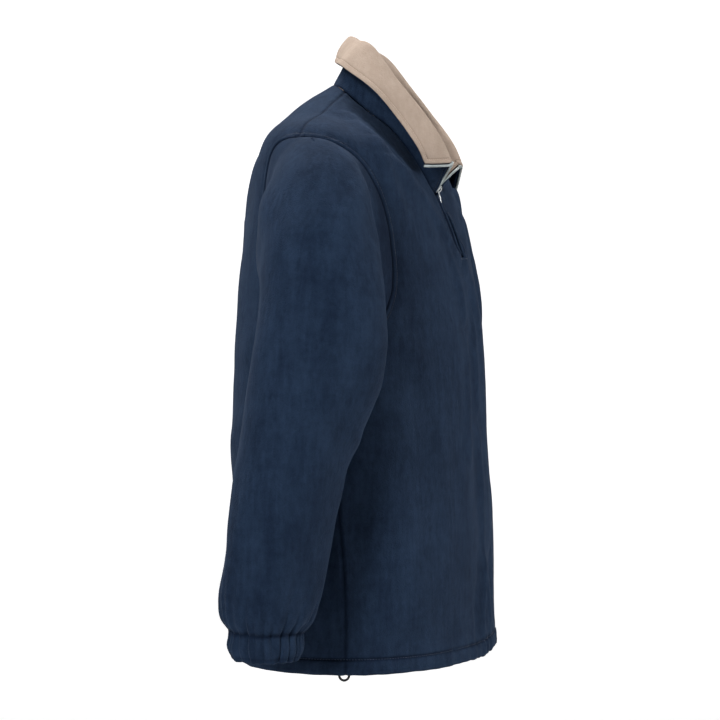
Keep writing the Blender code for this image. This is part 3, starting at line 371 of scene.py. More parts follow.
# The stage: the camera's height and offset aside, the floor's flat radius and the bend at its
# rim, and each lamp's place and size
CAMERA_HEIGHT = -0.33875
CAMERA_ASIDE = 0.0038
FLOOR_RADIUS = 14.0
FLOOR_BEND = 4.0
LAMP_TARGET = (0.0, 0.0, -0.25)
LAMPS = {"overhead": ((0.5, 0.8, 2.0), 1.0), "key": ((-2.5, 0.45, 0.8), 0.7),
         "front_fill": ((0.5, -2.5, 0.5), 0.9)}

# A distance beyond the reach of every seam, and a sleeve's mean radius
FAR = 1.0
SLEEVE_RADIUS = 0.06
# The hem's ruffles: how close together the waves are, their shift on each side and their share
RUFFLES = ((78, 2.1, 1.0), (47, -1.3, 0.7))
# Uneven bulges of hanging cloth: the size and height of each
BULGES = ((0.12, 0.003), (0.048, 0.0012), (0.018, 0.00025))
STITCHES_PROUD = 0.0001
STITCH_SHARE = 0.78
NEARLY_SAME = 3e-4

ACROSS = np.array([1.0, 0.0, 0.0])
SIDES = (-1, 1)
SIDE_NAMES = {-1: "right", 1: "left"}


# ---- smooth surfaces

def column(columns, table, name):
    """One named column of a table of sections."""
    rows = table.values() if isinstance(table, dict) else table
    return np.array([row[columns.index(name)] for row in rows], float)


def through(stations, values, at):
    """A smooth curve for each sample: values is (station, sample, xyz), read at `at`."""
    slopes = np.gradient(values, stations, axis=0)
    low = np.clip(np.searchsorted(stations, at) - 1, 0, len(stations) - 2)
    sample = np.arange(len(at))
    span = (stations[low + 1] - stations[low])[:, None]
    u = (at - stations[low])[:, None] / span
    start, end = values[low, sample], values[low + 1, sample]
    start_slope, end_slope = slopes[low, sample] * span, slopes[low + 1, sample] * span
    rise = 3 * u ** 2 - 2 * u ** 3
    return (start + (end - start) * rise + start_slope * (u - 2 * u ** 2 + u ** 3)
            + end_slope * (u ** 3 - u ** 2))


def station_points(columns, table, names, angle, open_front=False):
    """Points at the given angles on a curve through a table's stations.

    The curve runs on smoothly across the centre back, and across the centre front too
    unless the piece is open there.
    """
    stations = column(columns, table, "angle")
    values = np.stack([column(columns, table, name) for name in names], axis=1)
    across_back = values[-2] * (-1, 1, 1)
    stations = np.append(stations, 360 - stations[-2])
    values = np.vstack([values, across_back])
    if not open_front:
        stations = np.insert(stations, 0, -stations[1])
        values = np.vstack([values[1] * (-1, 1, 1), values])
    values = np.repeat(values[:, None, :], len(angle), axis=1)
    return through(stations, values, angle)


def unit(vectors):
    return vectors / np.linalg.norm(vectors, axis=-1, keepdims=True)


def mirrored(points, side):
    """Right-hand points (side -1), or the same on the left (side +1)."""
    return points * np.array([-side, 1.0, 1.0])


def round_from_front(across, seam):
    """Degrees round the body where across is 0 at the front, 1 at the seam, 2 at the back."""
    return np.where(across < 1, across * seam, seam + (across - 1) * (180 - seam))


def neck_seam(angle):
    return station_points(NECK_COLUMNS, NECK_STATIONS, ("x", "y", "z"), angle)


def torso_section(row, across):
    """Points of one torso section, wearer's right half."""
    named = dict(zip(TORSO_COLUMNS, row))
    angle = np.radians(round_from_front(across, named["seam"]))
    cosine, sine = np.cos(angle), np.sin(angle)
    front = cosine > 0
    depth = np.where(front, named["centre_y"] - named["front_y"],
                     named["back_y"] - named["centre_y"])
    power = named["roundness"]
    spokes = (np.abs(sine) / named["half_width"]) ** power + (np.abs(cosine) / depth) ** power
    radius = spokes ** (-1 / power)
    end_z = np.where(front, named["front_z"], named["back_z"])
    z = named["side_z"] + (end_z - named["side_z"]) * np.abs(cosine) ** 1.5
    return np.stack([-radius * sine, named["centre_y"] - radius * cosine, z], axis=-1)


def torso_sections(across):
    rings = [torso_section(row, across) for row in TORSO_SECTIONS.values()]
    rings.append(neck_seam(round_from_front(across, 90.0)))
    return np.stack(rings)


def running_length(points):
    steps = np.linalg.norm(np.diff(points, axis=0), axis=1)
    return np.concatenate([[0.0], np.cumsum(steps)])


def metres_along(points, axis):
    """The running length of each line of a grid of points."""
    steps = np.linalg.norm(np.diff(points, axis=axis), axis=2)
    return np.insert(np.cumsum(steps, axis=axis), 0, 0.0, axis=axis)


TORSO_LEVELS = running_length(torso_sections(np.array([1.0]))[:, 0])
NECK_LEVEL = TORSO_LEVELS[-1]


def smooth_torso(across, up):
    """The torso without folds, right half: across from 0 (front) to 2 (back)."""
    return through(TORSO_LEVELS, torso_sections(across), up)


def surface_normal(surface, first, second, step=1e-4):
    """The unit normal of surface(first, second), from its two tangents."""
    along_first = surface(first + step, second) - surface(first - step, second)
    along_second = surface(first, second + step) - surface(first, second - step)
    return unit(np.cross(along_first, along_second))


def table_height(table, signed_across, up):
    """How far a table's folds lift the torso out there."""
    height = np.zeros(len(up))
    for row in table.values():
        fold = dict(zip(FOLD_COLUMNS, row))
        start = np.array([fold["from_across"] * QUARTER_GIRTH, fold["from_up"]])
        run = np.array([fold["to_across"] * QUARTER_GIRTH, fold["to_up"]]) - start
        if abs(run[0]) > 2 * QUARTER_GIRTH:
            run[0] -= copysign(4 * QUARTER_GIRTH, run[0])
        for turn in (-4, 0, 4):
            place = np.stack([(signed_across + turn) * QUARTER_GIRTH, up], axis=-1) - start
            along = np.clip(place @ run / (run @ run), 0, 1)
            beside = place - along[:, None] * run
            taper = np.clip(4 * along * (1 - along), 0, 1) ** 0.5
            spread = np.exp(-(beside ** 2).sum(axis=1) / fold["width"] ** 2)
            height += fold["height"] * taper * spread
    return height


def fold_height(signed_across, up):
    return sum(table_height(table, signed_across, up) for table in (TORSO_FOLDS, TORSO_CREASES))


def on_middle(across):
    """Whether a place is on the centre front or the centre back."""
    return np.isclose(across, 0) | np.isclose(across, 2)


def torso(side):
    """The folded torso surface of one side, as a function of across and up."""
    def point(across, up):
        outward = surface_normal(smooth_torso, across, up)
        lifted = smooth_torso(across, up) - outward * fold_height(side * across, up)[:, None]
        lifted[on_middle(across), 0] = 0.0
        return mirrored(lifted, side)
    return point


def torso_out(side, across, up):
    """The outward normal of the folded torso."""
    return surface_normal(torso(side), across, up) * side


def metres_per_across(across, up):
    """How many metres round the torso one across is, there."""
    step = 1e-3
    run = smooth_torso(across + step, up) - smooth_torso(across - step, up)
    return np.linalg.norm(run, axis=1) / (2 * step)


# ---- the armhole

def armhole_levels(count):
    """Levels up the armhole, close together at its ends."""
    turn = np.linspace(0, pi, count + 1)
    return ARMHOLE["low"] + (ARMHOLE["high"] - ARMHOLE["low"]) * (1 - np.cos(turn)) / 2


def armhole_across(up, centre):
    """Where the armhole's edge lies towards centre: 0 for its front edge, 2 for its back."""
    off = np.clip(np.abs((up - ARMHOLE_MIDDLE) / ARMHOLE_HALF), 0, 1)
    reach = ARMHOLE["front_reach"] if centre < 1 else ARMHOLE["back_reach"]
    return 1 + (centre - 1) * reach * (1 - off ** ARMHOLE["power"]) ** (1 / ARMHOLE["power"])


def armhole_places(turn):
    """Levels and across values round the armhole, where turn is 0 at its top."""
    up = ARMHOLE_MIDDLE + ARMHOLE_HALF * np.cos(turn)
    across = np.where(np.sin(turn) > 0, armhole_across(up, 0), armhole_across(up, 2))
    return up, across


def panel_edge(up, centre):
    """The seam edge of the front or back panel, an edge gap off the seam line."""
    edge = armhole_across(up, centre)
    return edge + np.sign(centre - 1) * EDGE_GAP / metres_per_across(edge, up)


def on_grid(surface, first, second):
    """Read a surface over a grid of places."""
    return surface(first.ravel(), second.ravel()).reshape(*first.shape, 3)


def torso_grid(side, across, up, lift=0.0):
    """A grid of (points, normals) on the torso, moved out by lift."""
    points = on_grid(torso(side), across, up)
    normals = torso_out(side, across.ravel(), up.ravel()).reshape(points.shape)
    normals[on_middle(across), 0] = 0.0
    return points + normals * lift, normals


# ---- front and back

def front_run(up):
    """Metres along the centre front from a level up to the neck seam."""
    levels = np.linspace(up, NECK_LEVEL, 60)
    return running_length(smooth_torso(np.zeros(len(levels)), levels))[-1]


def level_below_neck(run):
    """The level whose centre front lies that far below the neck seam."""
    low, high = TORSO_LEVELS[2], NECK_LEVEL
    for _ in range(40):
        middle = (low + high) / 2
        low, high = (middle, high) if front_run(middle) > run else (low, middle)
    return (low + high) / 2


def beside_zip(distance, up):
    """The across value that lies a distance from the centre front."""
    return distance / metres_per_across(np.zeros(len(up)), up)


# ---- arms

def armhole_point(turn):
    """The armhole's edge on the torso: turn is 0 at the top, pi/2 in front, pi below."""
    up, across = armhole_places(turn)
    place = torso(-1)(across, up)
    centre = torso(-1)(np.array([1.0]), np.array([ARMHOLE_MIDDLE]))
    inward = (centre - place) * (0, 1, 1)
    return place - unit(inward) * SLEEVE_TUCK


def arm_sections(turn):
    named = {name: column(ARM_COLUMNS, ARM_SECTIONS, name)[:, None] for name in ARM_COLUMNS}
    cosine, sine = np.cos(turn), np.sin(turn)
    x = (named["outer_x"] * (1 + cosine) + named["inner_x"] * (1 - cosine)) / 2
    z = (named["outer_z"] * (1 + cosine) + named["inner_z"] * (1 - cosine)) / 2
    y = named["centre_y"] - named["half_depth"] * sine
    return np.concatenate([armhole_point(turn)[None], np.stack([x, y, z], axis=-1)])


def arm_axis_lengths():
    quarter_turns = np.radians([0.0, 90.0, 180.0, 270.0])
    return running_length(arm_sections(quarter_turns).mean(axis=1))


ARM_LENGTHS = arm_axis_lengths()
CUFF_START = ARM_LENGTHS[1 + list(ARM_SECTIONS).index("cuff_seam")]


def angle_off(turn, centre):
    """Signed angle from centre to turn, the short way round."""
    return (turn - centre + pi) % (2 * pi) - pi


def gather_table(side):
    """Where a cuff's gathers lie round the wrist: turn, half width, depth and reach."""
    dice = np.random.default_rng(40 + side)
    spacing = 2 * pi / GATHERS
    turns = np.arange(GATHERS) * spacing
    turns += dice.uniform(-GATHER_STRAY, GATHER_STRAY, GATHERS) * spacing
    widths = spacing * dice.uniform(*GATHER_WIDTHS, GATHERS)
    depths = GATHER_DEPTH * dice.uniform(*GATHER_DEPTHS, GATHERS)
    reaches = GATHER_REACH * dice.uniform(*GATHER_REACHES, GATHERS)
    return np.stack([turns, widths, depths, reaches], axis=1)


def gather_lift(side, turn, along):
    """The cuff's elastic gathers: narrow troughs that widen and fade out up the sleeve."""
    lift = np.full(len(turn), 0.0006) * np.exp(-((along - CUFF_START) / GATHER_REACH) ** 2)
    below = np.clip((along - CUFF_START) / (ARM_LENGTHS[-1] - CUFF_START), 0, 1)
    for place, width, depth, reach in gather_table(side):
        above = np.clip((CUFF_START - along) / reach, 0, None)
        spread = width * (1 + 0.8 * np.clip(above, 0, 1.5))
        trough = np.exp(-(angle_off(turn, place) / spread) ** 2 - above ** 2)
        lift -= depth * trough * (1 - 0.2 * below)
    return lift


def smooth_arm(turn, along):
    return through(ARM_LENGTHS, arm_sections(turn), along)


def arm(side):
    """One arm's surface, armhole to cuff edge. The left arm hangs further back."""
    def point(turn, along):
        outward = -surface_normal(smooth_arm, turn, along)
        lift = np.where(along > ARM_LENGTHS[2], gather_lift(side, turn, along), 0.0)
        for table in (SLEEVE_FOLDS, SLEEVE_CREASES):
            for row in table.values():
                fold = dict(zip(SLEEVE_FOLD_COLUMNS, row))
                down = (along - fold["along"]) / fold["length"]
                off = angle_off(turn, np.radians(fold["turn"] + fold["slant"] * down))
                off /= radians(fold["spread"])
                from_seam = np.clip(along / FOLDS_START, 0, 1)
                lift += fold["height"] * np.exp(-off ** 2 - down ** 2) * from_seam
        back = LEFT_SLEEVE_BACK * np.sin(pi * along / ARM_LENGTHS[-1]) * (side > 0)
        place = smooth_arm(turn, along) + outward * lift[:, None]
        return mirrored(place + back[:, None] * (0, 1, 0), side)
    return point


# ---- collar and zip

def collar_points(angle, names):
    return station_points(COLLAR_COLUMNS, COLLAR_STATIONS, names, angle, open_front=True)


def collar_lining(side):
    """The collar's face that lies against its outer shell, on one side of the neck.

    v runs 0 to 1 up the stand, to 2 over the roll, and to 3 down the flap.
    """
    def point(angle, v):
        seam = neck_seam(angle)
        left_back = collar_points(angle, ["left_back"] * 3) * (0, 1, 0) * (side > 0)
        fold = collar_points(angle, COLLAR_COLUMNS[1:4]) + left_back
        edge = collar_points(angle, COLLAR_COLUMNS[4:7]) + left_back
        corner = np.exp(-(angle / LEFT_CORNER_SPREAD) ** 2)[:, None] * LEFT_CORNER * (side > 0)
        hanging = np.clip(2 * v - 1, 0, 1)[:, None]
        up = unit(fold - seam)
        flat = edge - fold + corner * hanging ** 2 * (3 - 2 * hanging)
        out = unit(flat - up * (flat * up).sum(axis=1, keepdims=True))
        centre = fold - up * (ROLL_RADIUS + COLLAR_THICKNESS)
        low = seam + up * 2 * EDGE_GAP - centre
        tip = edge + corner - centre

        def tangent_angle(place, turn):
            flat = np.hypot((place * out).sum(axis=1), (place * up).sum(axis=1))
            bearing = np.arctan2((place * up).sum(axis=1), (place * out).sum(axis=1))
            return bearing + turn * np.arccos(np.clip(ROLL_RADIUS / flat, -1, 1))

        start = tangent_angle(low, -1) + 2 * pi
        end = tangent_angle(tip, 1)
        roll = start + (end - start) * np.clip(v - 1, 0, 1)
        on_roll = ROLL_RADIUS * (np.cos(roll)[:, None] * out + np.sin(roll)[:, None] * up)
        stand, flap = np.clip(v, 0, 1)[:, None], np.clip(v - 2, 0, 1)[:, None]
        place = on_roll + (low - on_roll) * (1 - stand) + (tip - on_roll) * flap
        front = np.exp(-(angle / ZIP_CLOSED_SPREAD) ** 2)[:, None]
        held_in = (seam - fold)[:, :1] * (stand - stand ** ZIP_CLOSED_POWER) * front * (1 - flap)
        wave = COLLAR_CROWN * np.sin(pi * flap)
        wave -= COLLAR_HOLLOW * np.sin(pi * stand) * (1 - front)
        return mirrored(centre + place + held_in * (1, 0, 0) + wave * out, side)
    return point


def collar_normal(side):
    """The way from the lining side out to the collar's top face.

    Both sides' front edges lie in one plane where the slider holds them together.
    """
    def direction(angle, v):
        normal = -side * surface_normal(collar_lining(side), angle, v, 1e-3)
        held = np.exp(-(angle / ZIP_CLOSED_SPREAD) ** 2) * np.clip(1 - v / 0.6, 0, 1)
        return unit(normal * np.column_stack([1 - held, np.ones(len(v)), np.ones(len(v))]))
    return direction


def collar_front_angle():
    """Where the collar's front edge starts on the neck seam: a slit's half width out."""
    angles = np.linspace(0, 20, 400)
    return float(np.interp(SLIT_HALF_WIDTH, -neck_seam(angles)[:, 0], angles))


COLLAR_FRONT = collar_front_angle()


def collar_zip_place(side, v, beyond, depth):
    """Points beyond the collar's front edge on one side, and the face's normal there."""
    angle = np.full(len(v), COLLAR_FRONT)
    surface = collar_lining(side)
    edge, normal = surface(angle, v), collar_normal(side)(angle, v)
    run = unit(surface(angle, v + 0.01) - surface(angle, v - 0.01 * (v > 0.01)))
    back = surface(angle + ZIP_RUN_STEP, v) - edge
    away = -unit(back - run * (back * run).sum(axis=1, keepdims=True))
    away = unit(away - normal * (away * normal).sum(axis=1, keepdims=True))
    return edge + away * beyond[:, None] + normal * depth, normal


def torso_zip_place(side, up, from_centre, depth):
    """Points below the front's outer face at a distance from the centre, on one side."""
    across = beside_zip(from_centre, up)
    normal = torso_out(side, across, up)
    return torso(side)(across, up) - normal * depth, normal


def slider_frame():
    """Where the slider sits on the closed teeth: its place, way down, and way out."""
    v = np.array([0.03, 0.24])
    middle = np.full(2, SLIT_HALF_WIDTH - CHAIN_HALF_WIDTH / 2)
    points, _ = collar_zip_place(-1, v, middle, COLLAR_THICKNESS / 2)
    points[:, 0] = 0.0
    down = unit(points[0] - points[1])
    out = np.array([0.0, down[2], -down[1]])
    to_bar = SLIDER["bridge_length"] / 2 - SLIDER["plate"] - SEAM_GAP - PULL["bar"] / 2
    return points[0] + down * ((HINGE - points[0]) @ down - to_bar), down, out


def pull_frame():
    """The pull tab's hinge, as the solids have it, and the way the tab hangs."""
    lean = radians(PULL["lean"])
    hang = np.array([0.0, -sin(lean), -cos(lean)])
    return HINGE, hang, np.array([0.0, -cos(lean), sin(lean)])


# ---- relief of the cloth

def dip(distance, width):
    """A soft bump of height 1 at distance 0."""
    return np.exp(-(distance / width) ** 2)


def rise(value):
    """A smooth step from 0 at value 0 to 1 at value 1."""
    value = np.clip(value, 0, 1)
    return value ** 2 * (3 - 2 * value)


def unevenness(places):
    """The soft uneven bulge of cloth that hangs, by its place in space."""
    lift = np.zeros(len(places))
    for size, height in BULGES:
        lift += [height * noise.noise(Vector(place) / size) for place in places]
    return lift


def distances(places, line):
    """How far each place is from the nearest point of a line of points."""
    tree = KDTree(len(line))
    for index, point in enumerate(line):
        tree.insert(point, index)
    tree.balance()
    return np.array([tree.find(place)[2] for place in places])


def armhole_line(side):
    """The armhole's edge as a fine line of points."""
    up, across = armhole_places(np.linspace(0, 2 * pi, 1400))
    return torso(side)(across, up)


def by_seams(seams, lines):
    """(lift, darkened nap) of a piece's seams at places with these distances from its lines; the
    darkening is pressed nap and painted shade in the grooves.
    """
    lift, pressed = 0.0, 0.0
    for line, offset, height, width, flat, flat_width in seams.values():
        off = lines[line] - offset
        lift = lift + height * dip(off, width)
        pressed = pressed + flat * dip(off, flat_width)
    return lift, pressed


def falls_off(distance, start, length):
    """1 up to a start, then smoothly down to 0 over a length."""
    return 1 - rise((distance - start) / length)


def torso_relief(side, across, up, places):
    """Seams, the hem's casing and unevenness: (lift, how far the nap is darkened, as pressed nap
    and as painted shade in the seams' grooves).
    """
    metres = metres_per_across(across, up)
    in_armhole = (up > ARMHOLE["low"]) & (up < ARMHOLE["high"])
    by_slit = across * metres - SLIT_HALF_WIDTH + SLIT_CLOSES_BY
    lines = {
        "side": np.where(in_armhole, FAR, np.abs(across - 1) * metres),
        "armhole": distances(places, armhole_line(side)),
        "neck": NECK_LEVEL - up,
        "slit": np.where(up > ZIP_FOOT, by_slit, FAR),
        "hem": up,
    }
    lift, pressed = by_seams(TORSO_SEAMS, lines)
    lift += unevenness(places)
    welt, *welt_fall = ARMHOLE_WELT
    lift += welt * falls_off(lines["armhole"], *welt_fall)
    below_neck = 1 - falls_off(lines["neck"], *SLIT_LIFT_FROM_NECK)
    lift += SLIT_LIFT[side] * falls_off(lines["slit"], *SLIT_LIFT_FALL) * below_neck
    lift += 0.001 * np.sin(pi * np.clip(up / HEM_STITCH, 0, 1))
    ruffle = sum(height * np.sin(waves * across + shift * side)
                 for waves, shift, height in RUFFLES)
    gathered_up = 0.3 + 1.1 * dip(side * across + 0.06, 0.2)
    lift += 0.001 * ruffle * gathered_up * falls_off(up, 0.012, 0.03)
    return lift, np.clip(pressed, 0, 1)


def sleeve_relief(turn, along, places):
    """The same for a sleeve, with painted shade darkening the nap in the crease in front of the
    armhole. The underarm seam's distance is by a mean radius.
    """
    lines = {"armhole": along, "cuff": CUFF_START - along,
             "underarm": np.abs(angle_off(turn, pi)) * SLEEVE_RADIUS}
    lift, pressed = by_seams(SLEEVE_SEAMS, lines)
    lift += unevenness(places)
    lift += 0.0008 * dip(along - 0.01, 0.006) * dip(angle_off(turn, 0), 1.1)
    # Painted shade: the nap is darkened along the crease in front of the armhole seam.
    pressed += 0.8 * dip(along, 0.011) * dip(angle_off(turn, radians(85)), 0.8)
    return lift, np.clip(pressed, 0, 1)


def cuff_relief(turn, along, places):
    """The same for a cuff, which swells a little over the first 30 mm."""
    lines = {"cuff": along - CUFF_START, "end": ARM_LENGTHS[-1] - along}
    lift, pressed = by_seams(CUFF_SEAMS, lines)
    lift += 0.5 * unevenness(places)
    lift += 0.0006 * np.sin(pi * np.clip(lines["cuff"] / 0.03, 0, 1))
    return lift, np.clip(pressed, 0, 1)


# ---- making meshes

def new_object(name, data):
    made = bpy.data.objects.new(name, data)
    bpy.context.scene.collection.objects.link(made)
    return made


def smooth_object(name, vertices, faces, finish, sharp=50.0):
    mesh = bpy.data.meshes.new(name)
    mesh.from_pydata(np.asarray(vertices, float).tolist(), [], faces)
    mesh.materials.append(finish)
    mesh.shade_smooth()
    if sharp:
        mesh.set_sharp_from_angle(angle=radians(sharp))
    mesh.update()
    return new_object(name, mesh)


def set_attribute(piece, name, values):
    attribute = piece.data.attributes.new(name, "FLOAT", "POINT")
    attribute.data.foreach_set("value", np.asarray(values, np.float32))


def winds_outward(points, normals):
    """Whether a grid's faces, taken row by row, wind about its outward normals."""
    turned = np.cross(points[:-1, 1:] - points[:-1, :-1], points[1:, :-1] - points[:-1, :-1])
    return (turned * normals[:-1, :-1]).sum() > 0


class Patch:
    """A grid of cloth: places on its smooth surface, outward normals, and what lies on them.

    lift is the relief on the outer face, the pressed share darkens the nap, as pressed nap at
    seams and as painted shade in their grooves and creases, round is 1 where the grid's edge is a
    free, rounded edge, and along and aside are metres for a woven pattern.
    """
    def __init__(self, points, normals, lift=0.0, pressed=0.0, round_edge=0.0, along=0.0,
                 aside=0.0):
        self.points, self.normals = points, normals
        values = (lift, pressed, round_edge, along, aside)
        self.values = [np.broadcast_to(value, points.shape[:2]) for value in values]


def mean_by(ids, count, values):
    total = np.zeros((count, values.shape[1]))
    np.add.at(total, ids, values)
    return total / np.bincount(ids, minlength=count)[:, None]


def shell(name, patches, thickness, finish):
    """A closed wall of cloth behind patches that share edges, with rounded free edges."""
    places = np.concatenate([patch.points.reshape(-1, 3) for patch in patches])
    keys = np.round(places / WELD).astype(np.int64)
    _, ids = np.unique(keys, axis=0, return_inverse=True)
    ids = ids.ravel()
    count = ids.max() + 1
    normals = np.concatenate([patch.normals.reshape(-1, 3) for patch in patches])
    extras = np.concatenate([np.stack([v.ravel() for v in patch.values], axis=1)
                             for patch in patches])
    base = mean_by(ids, count, places)
    out = unit(mean_by(ids, count, normals))
    lift, pressed, rounding, along, aside = mean_by(ids, count, extras).T
    faces, start = [], 0
    for patch in patches:
        rows, columns = patch.points.shape[:2]
        grid = ids[start:start + rows * columns].reshape(rows, columns)
        start += rows * columns
        quads = np.stack([grid[:-1, :-1], grid[:-1, 1:], grid[1:, 1:], grid[1:, :-1]], axis=-1)
        quads = quads.reshape(-1, 4)
        faces.append(quads if winds_outward(patch.points, patch.normals) else quads[:, ::-1])
    faces = np.concatenate(faces)
    edges = np.concatenate([faces[:, (k, (k + 1) % 4)] for k in range(4)])
    edges = edges[edges[:, 0] != edges[:, 1]]
    codes = edges[:, 0] * count + edges[:, 1]
    rim = edges[~np.isin(edges[:, 1] * count + edges[:, 0], codes)]
    outer, inner = base + out * lift[:, None], base - out * thickness
    sideways = np.zeros((count, 3))
    beyond = np.cross(base[rim[:, 1]] - base[rim[:, 0]], out[rim[:, 0]])
    np.add.at(sideways, rim[:, 0], beyond)
    np.add.at(sideways, rim[:, 1], beyond)
    around = np.unique(rim)
    middle = np.zeros(count, int)
    middle[around] = 2 * count + np.arange(len(around))
    push = unit(sideways[around]) * (rounding[around] * thickness * EDGE_BULGE)[:, None]
    between = (outer[around] + inner[around]) / 2 + push
    low, high = rim[:, 0], rim[:, 1]
    rim_faces = [(high, low, middle[low], middle[high]),
                 (middle[high], middle[low], low + count, high + count)]
    rim_faces = np.concatenate([np.stack(face, axis=1) for face in rim_faces])
    inside = faces[:, ::-1] + count
    corners = np.concatenate([faces, inside, rim_faces]).tolist()
    whole = [face if len(set(face)) == 4 else list(dict.fromkeys(face)) for face in corners]
    whole = [face for face in whole if len(face) > 2]
    piece = smooth_object(name, np.vstack([outer, inner, between]), whole, finish, 70.0)
    # The nap's darkening, pressed nap and painted shade, is weaker on the inside.
    inside_pressed_and_shade = INSIDE_NAP * pressed
    set_attribute(piece, "pressed", np.concatenate([pressed, inside_pressed_and_shade, pressed[around]]))
    set_attribute(piece, "along", np.concatenate([along, along, along[around]]))
    set_attribute(piece, "aside", np.concatenate([aside, aside, aside[around]]))
    return piece


def turned_edge(patch, rows_inside):
    """Carry a grid on round its last row, and back up inside itself, as a turned-up edge."""
    points, normals = patch.points, patch.normals
    edge, out = points[-1], normals[-1]
    away = edge - points[-2]
    away = unit(away - out * (away * out).sum(axis=1, keepdims=True))
    rolled, facing = [], []
    for turn in np.linspace(0, pi, ROLL_ROWS + 1)[1:-1]:
        facing.append(cos(turn) * out + sin(turn) * away)
        rolled.append(edge - ROLL_EDGE * out + ROLL_EDGE * facing[-1])
    back = slice(None, -rows_inside - 2, -1)
    inside = points[back] - 2 * ROLL_EDGE * normals[back]
    all_points = np.concatenate([points, np.array(rolled), inside])
    all_normals = np.concatenate([normals, np.array(facing), -normals[back]])
    added = len(all_points) - len(points)
    fade = np.clip(1 - np.arange(1, added + 1) / ROLL_ROWS, 0, 1)[:, None]
    values = [np.concatenate([value, value[-1] * fade]) for value in patch.values]
    return Patch(all_points, all_normals, *values)


def flat_size(patches):
    """The cut of a piece: its widest row, its longest column and its area, both halves."""
    width = sum(max(running_length(row)[-1] for row in patch.points[::6]) for patch in patches)
    length = max(running_length(patch.points[:, k])[-1] for patch in patches
                 for k in range(0, patch.points.shape[1], 6))
    area = 0.0
    for patch in patches:
        points = patch.points
        cross = np.cross(points[1:, 1:] - points[:-1, :-1], points[1:, :-1] - points[:-1, 1:])
        area += 0.5 * np.linalg.norm(cross, axis=2).sum()
    return width, length, area


def dress(piece, nodes=(), body="garment"):
    """Ride on a body and stand for the solids."""
    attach(piece, body)
    if nodes:
        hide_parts(*nodes)
    return piece


def navy_piece(name, patches, *nodes):
    """A wall of the outer fleece that stands for its solids."""
    return dress(shell(name, patches, FLEECE, finish_of("brushed_navy")), nodes)


def declare_sheet(piece, held, width, length, area):
    """Work out the smaller of the cut's area and its width times its length, and keep nothing; how
    it is held is not used.
    """
    min(area, width * length)


# ---- settings

COLOUR = {"subtype": "COLOR", "size": 3, "min": 0, "max": 1}


class ClothSettings(PropertyGroup):
    """Colours of the pullover's cloth and thread."""
    navy: FloatVectorProperty(
        name="Navy", description="Colour of the outer fleece in the depth of its nap",
        **COLOUR, default=(0.0038, 0.0096, 0.024))
    navy_brushed: FloatVectorProperty(
        name="Brushed navy", description="Colour of the outer fleece where its nap is brushed up",
        **COLOUR, default=(0.0172, 0.0335, 0.0665))
    beige: FloatVectorProperty(
        name="Beige", description="Colour of the collar's lining in the depth of its nap",
        **COLOUR, default=(0.335, 0.26, 0.208))
    beige_brushed: FloatVectorProperty(
        name="Brushed beige", description="Colour of the collar's lining on its nap",
        **COLOUR, default=(0.445, 0.355, 0.29))
    navy_thread: FloatVectorProperty(
        name="Navy thread", description="Colour of the thread on the outer fleece",
        **COLOUR, default=(0.014, 0.024, 0.048))
    beige_thread: FloatVectorProperty(
        name="Beige thread", description="Colour of the thread on the collar's lining",
        **COLOUR, default=(0.42, 0.33, 0.27))
    nap_depth: FloatProperty(
        name="Nap", description="Depth of the fleece's tufts", unit="LENGTH", default=0.0007)
    stitch_length: FloatProperty(
        name="Stitch", description="Length of one stitch with its gap",
        unit="LENGTH", default=0.0034)
    thread: FloatProperty(
        name="Thread", description="Thickness of the sewing thread", unit="LENGTH", default=0.0005)


class TrimSettings(PropertyGroup):
    """Zip and cord of the pullover."""
    tooth_pitch: FloatProperty(
        name="Tooth pitch", description="From one tooth to the next on one tape",
        unit="LENGTH", default=0.0022)
    teeth: FloatVectorProperty(
        name="Teeth", description="Colour of the zip's moulded teeth",
        **COLOUR, default=(0.5, 0.56, 0.56))
    tape: FloatVectorProperty(
        name="Tape", description="Colour of the zip's woven tape",
        **COLOUR, default=(0.012, 0.013, 0.016))
    metal: FloatVectorProperty(
        name="Metal", description="Colour of the slider and its pull tab",
        **COLOUR, default=(0.74, 0.77, 0.78))
    stop: FloatVectorProperty(
        name="Stop", description="Colour of the zip's bottom stop",
        **COLOUR, default=(0.16, 0.14, 0.15))
    cord: FloatVectorProperty(
        name="Cord", description="Colour of the hem's elastic cord",
        **COLOUR, default=(0.01, 0.01, 0.012))
    cord_sides: IntProperty(
        name="Cord sides", description="How round the cord's section is",
        subtype="UNSIGNED", default=6, min=2, max=12)


class StageSettings(PropertyGroup):
    """The floor, the camera and the lights."""
    floor_drop: FloatProperty(
        name="Floor", description="How far the floor is below the hem",
        unit="LENGTH", default=0.75)
    floor_colour: FloatVectorProperty(
        name="Floor colour", description="Colour of the plain floor",
        **COLOUR, default=(0.86, 0.86, 0.86))
    # The floor's far end glows with painted light; this sets how brightly.
    backdrop: FloatProperty(
        name="Backdrop", description="How brightly the floor's far end is lit",
        subtype="FACTOR", default=0.95, min=0, max=2)
    surround: FloatProperty(
        name="Surround", description="Brightness of the even light all round",
        subtype="FACTOR", default=0.14, min=0, max=2)
    key: FloatProperty(
        name="Key light", description="Power of the soft light at the camera's left",
        unit="POWER", default=62.0, min=0)
    overhead: FloatProperty(
        name="Overhead light", description="Power of the soft light above the shoulders",
        unit="POWER", default=70.0, min=0)
    front_fill: FloatProperty(
        name="Front fill", description="Power of the soft light in front of the chest",
        unit="POWER", default=52.0, min=0)
    distance: FloatProperty(
        name="Camera distance", description="From the camera to the wearer's middle",
        unit="LENGTH", default=2.6)
    focal_length: FloatProperty(
        name="Focal length", description="Of the camera, in millimetres for a 36 mm frame",
        default=104.0, min=1)
    azimuth: FloatProperty(
        name="Camera azimuth", description="Where the camera stands round the wearer",
        subtype="ANGLE", default=radians(-75))


# ---- finishes

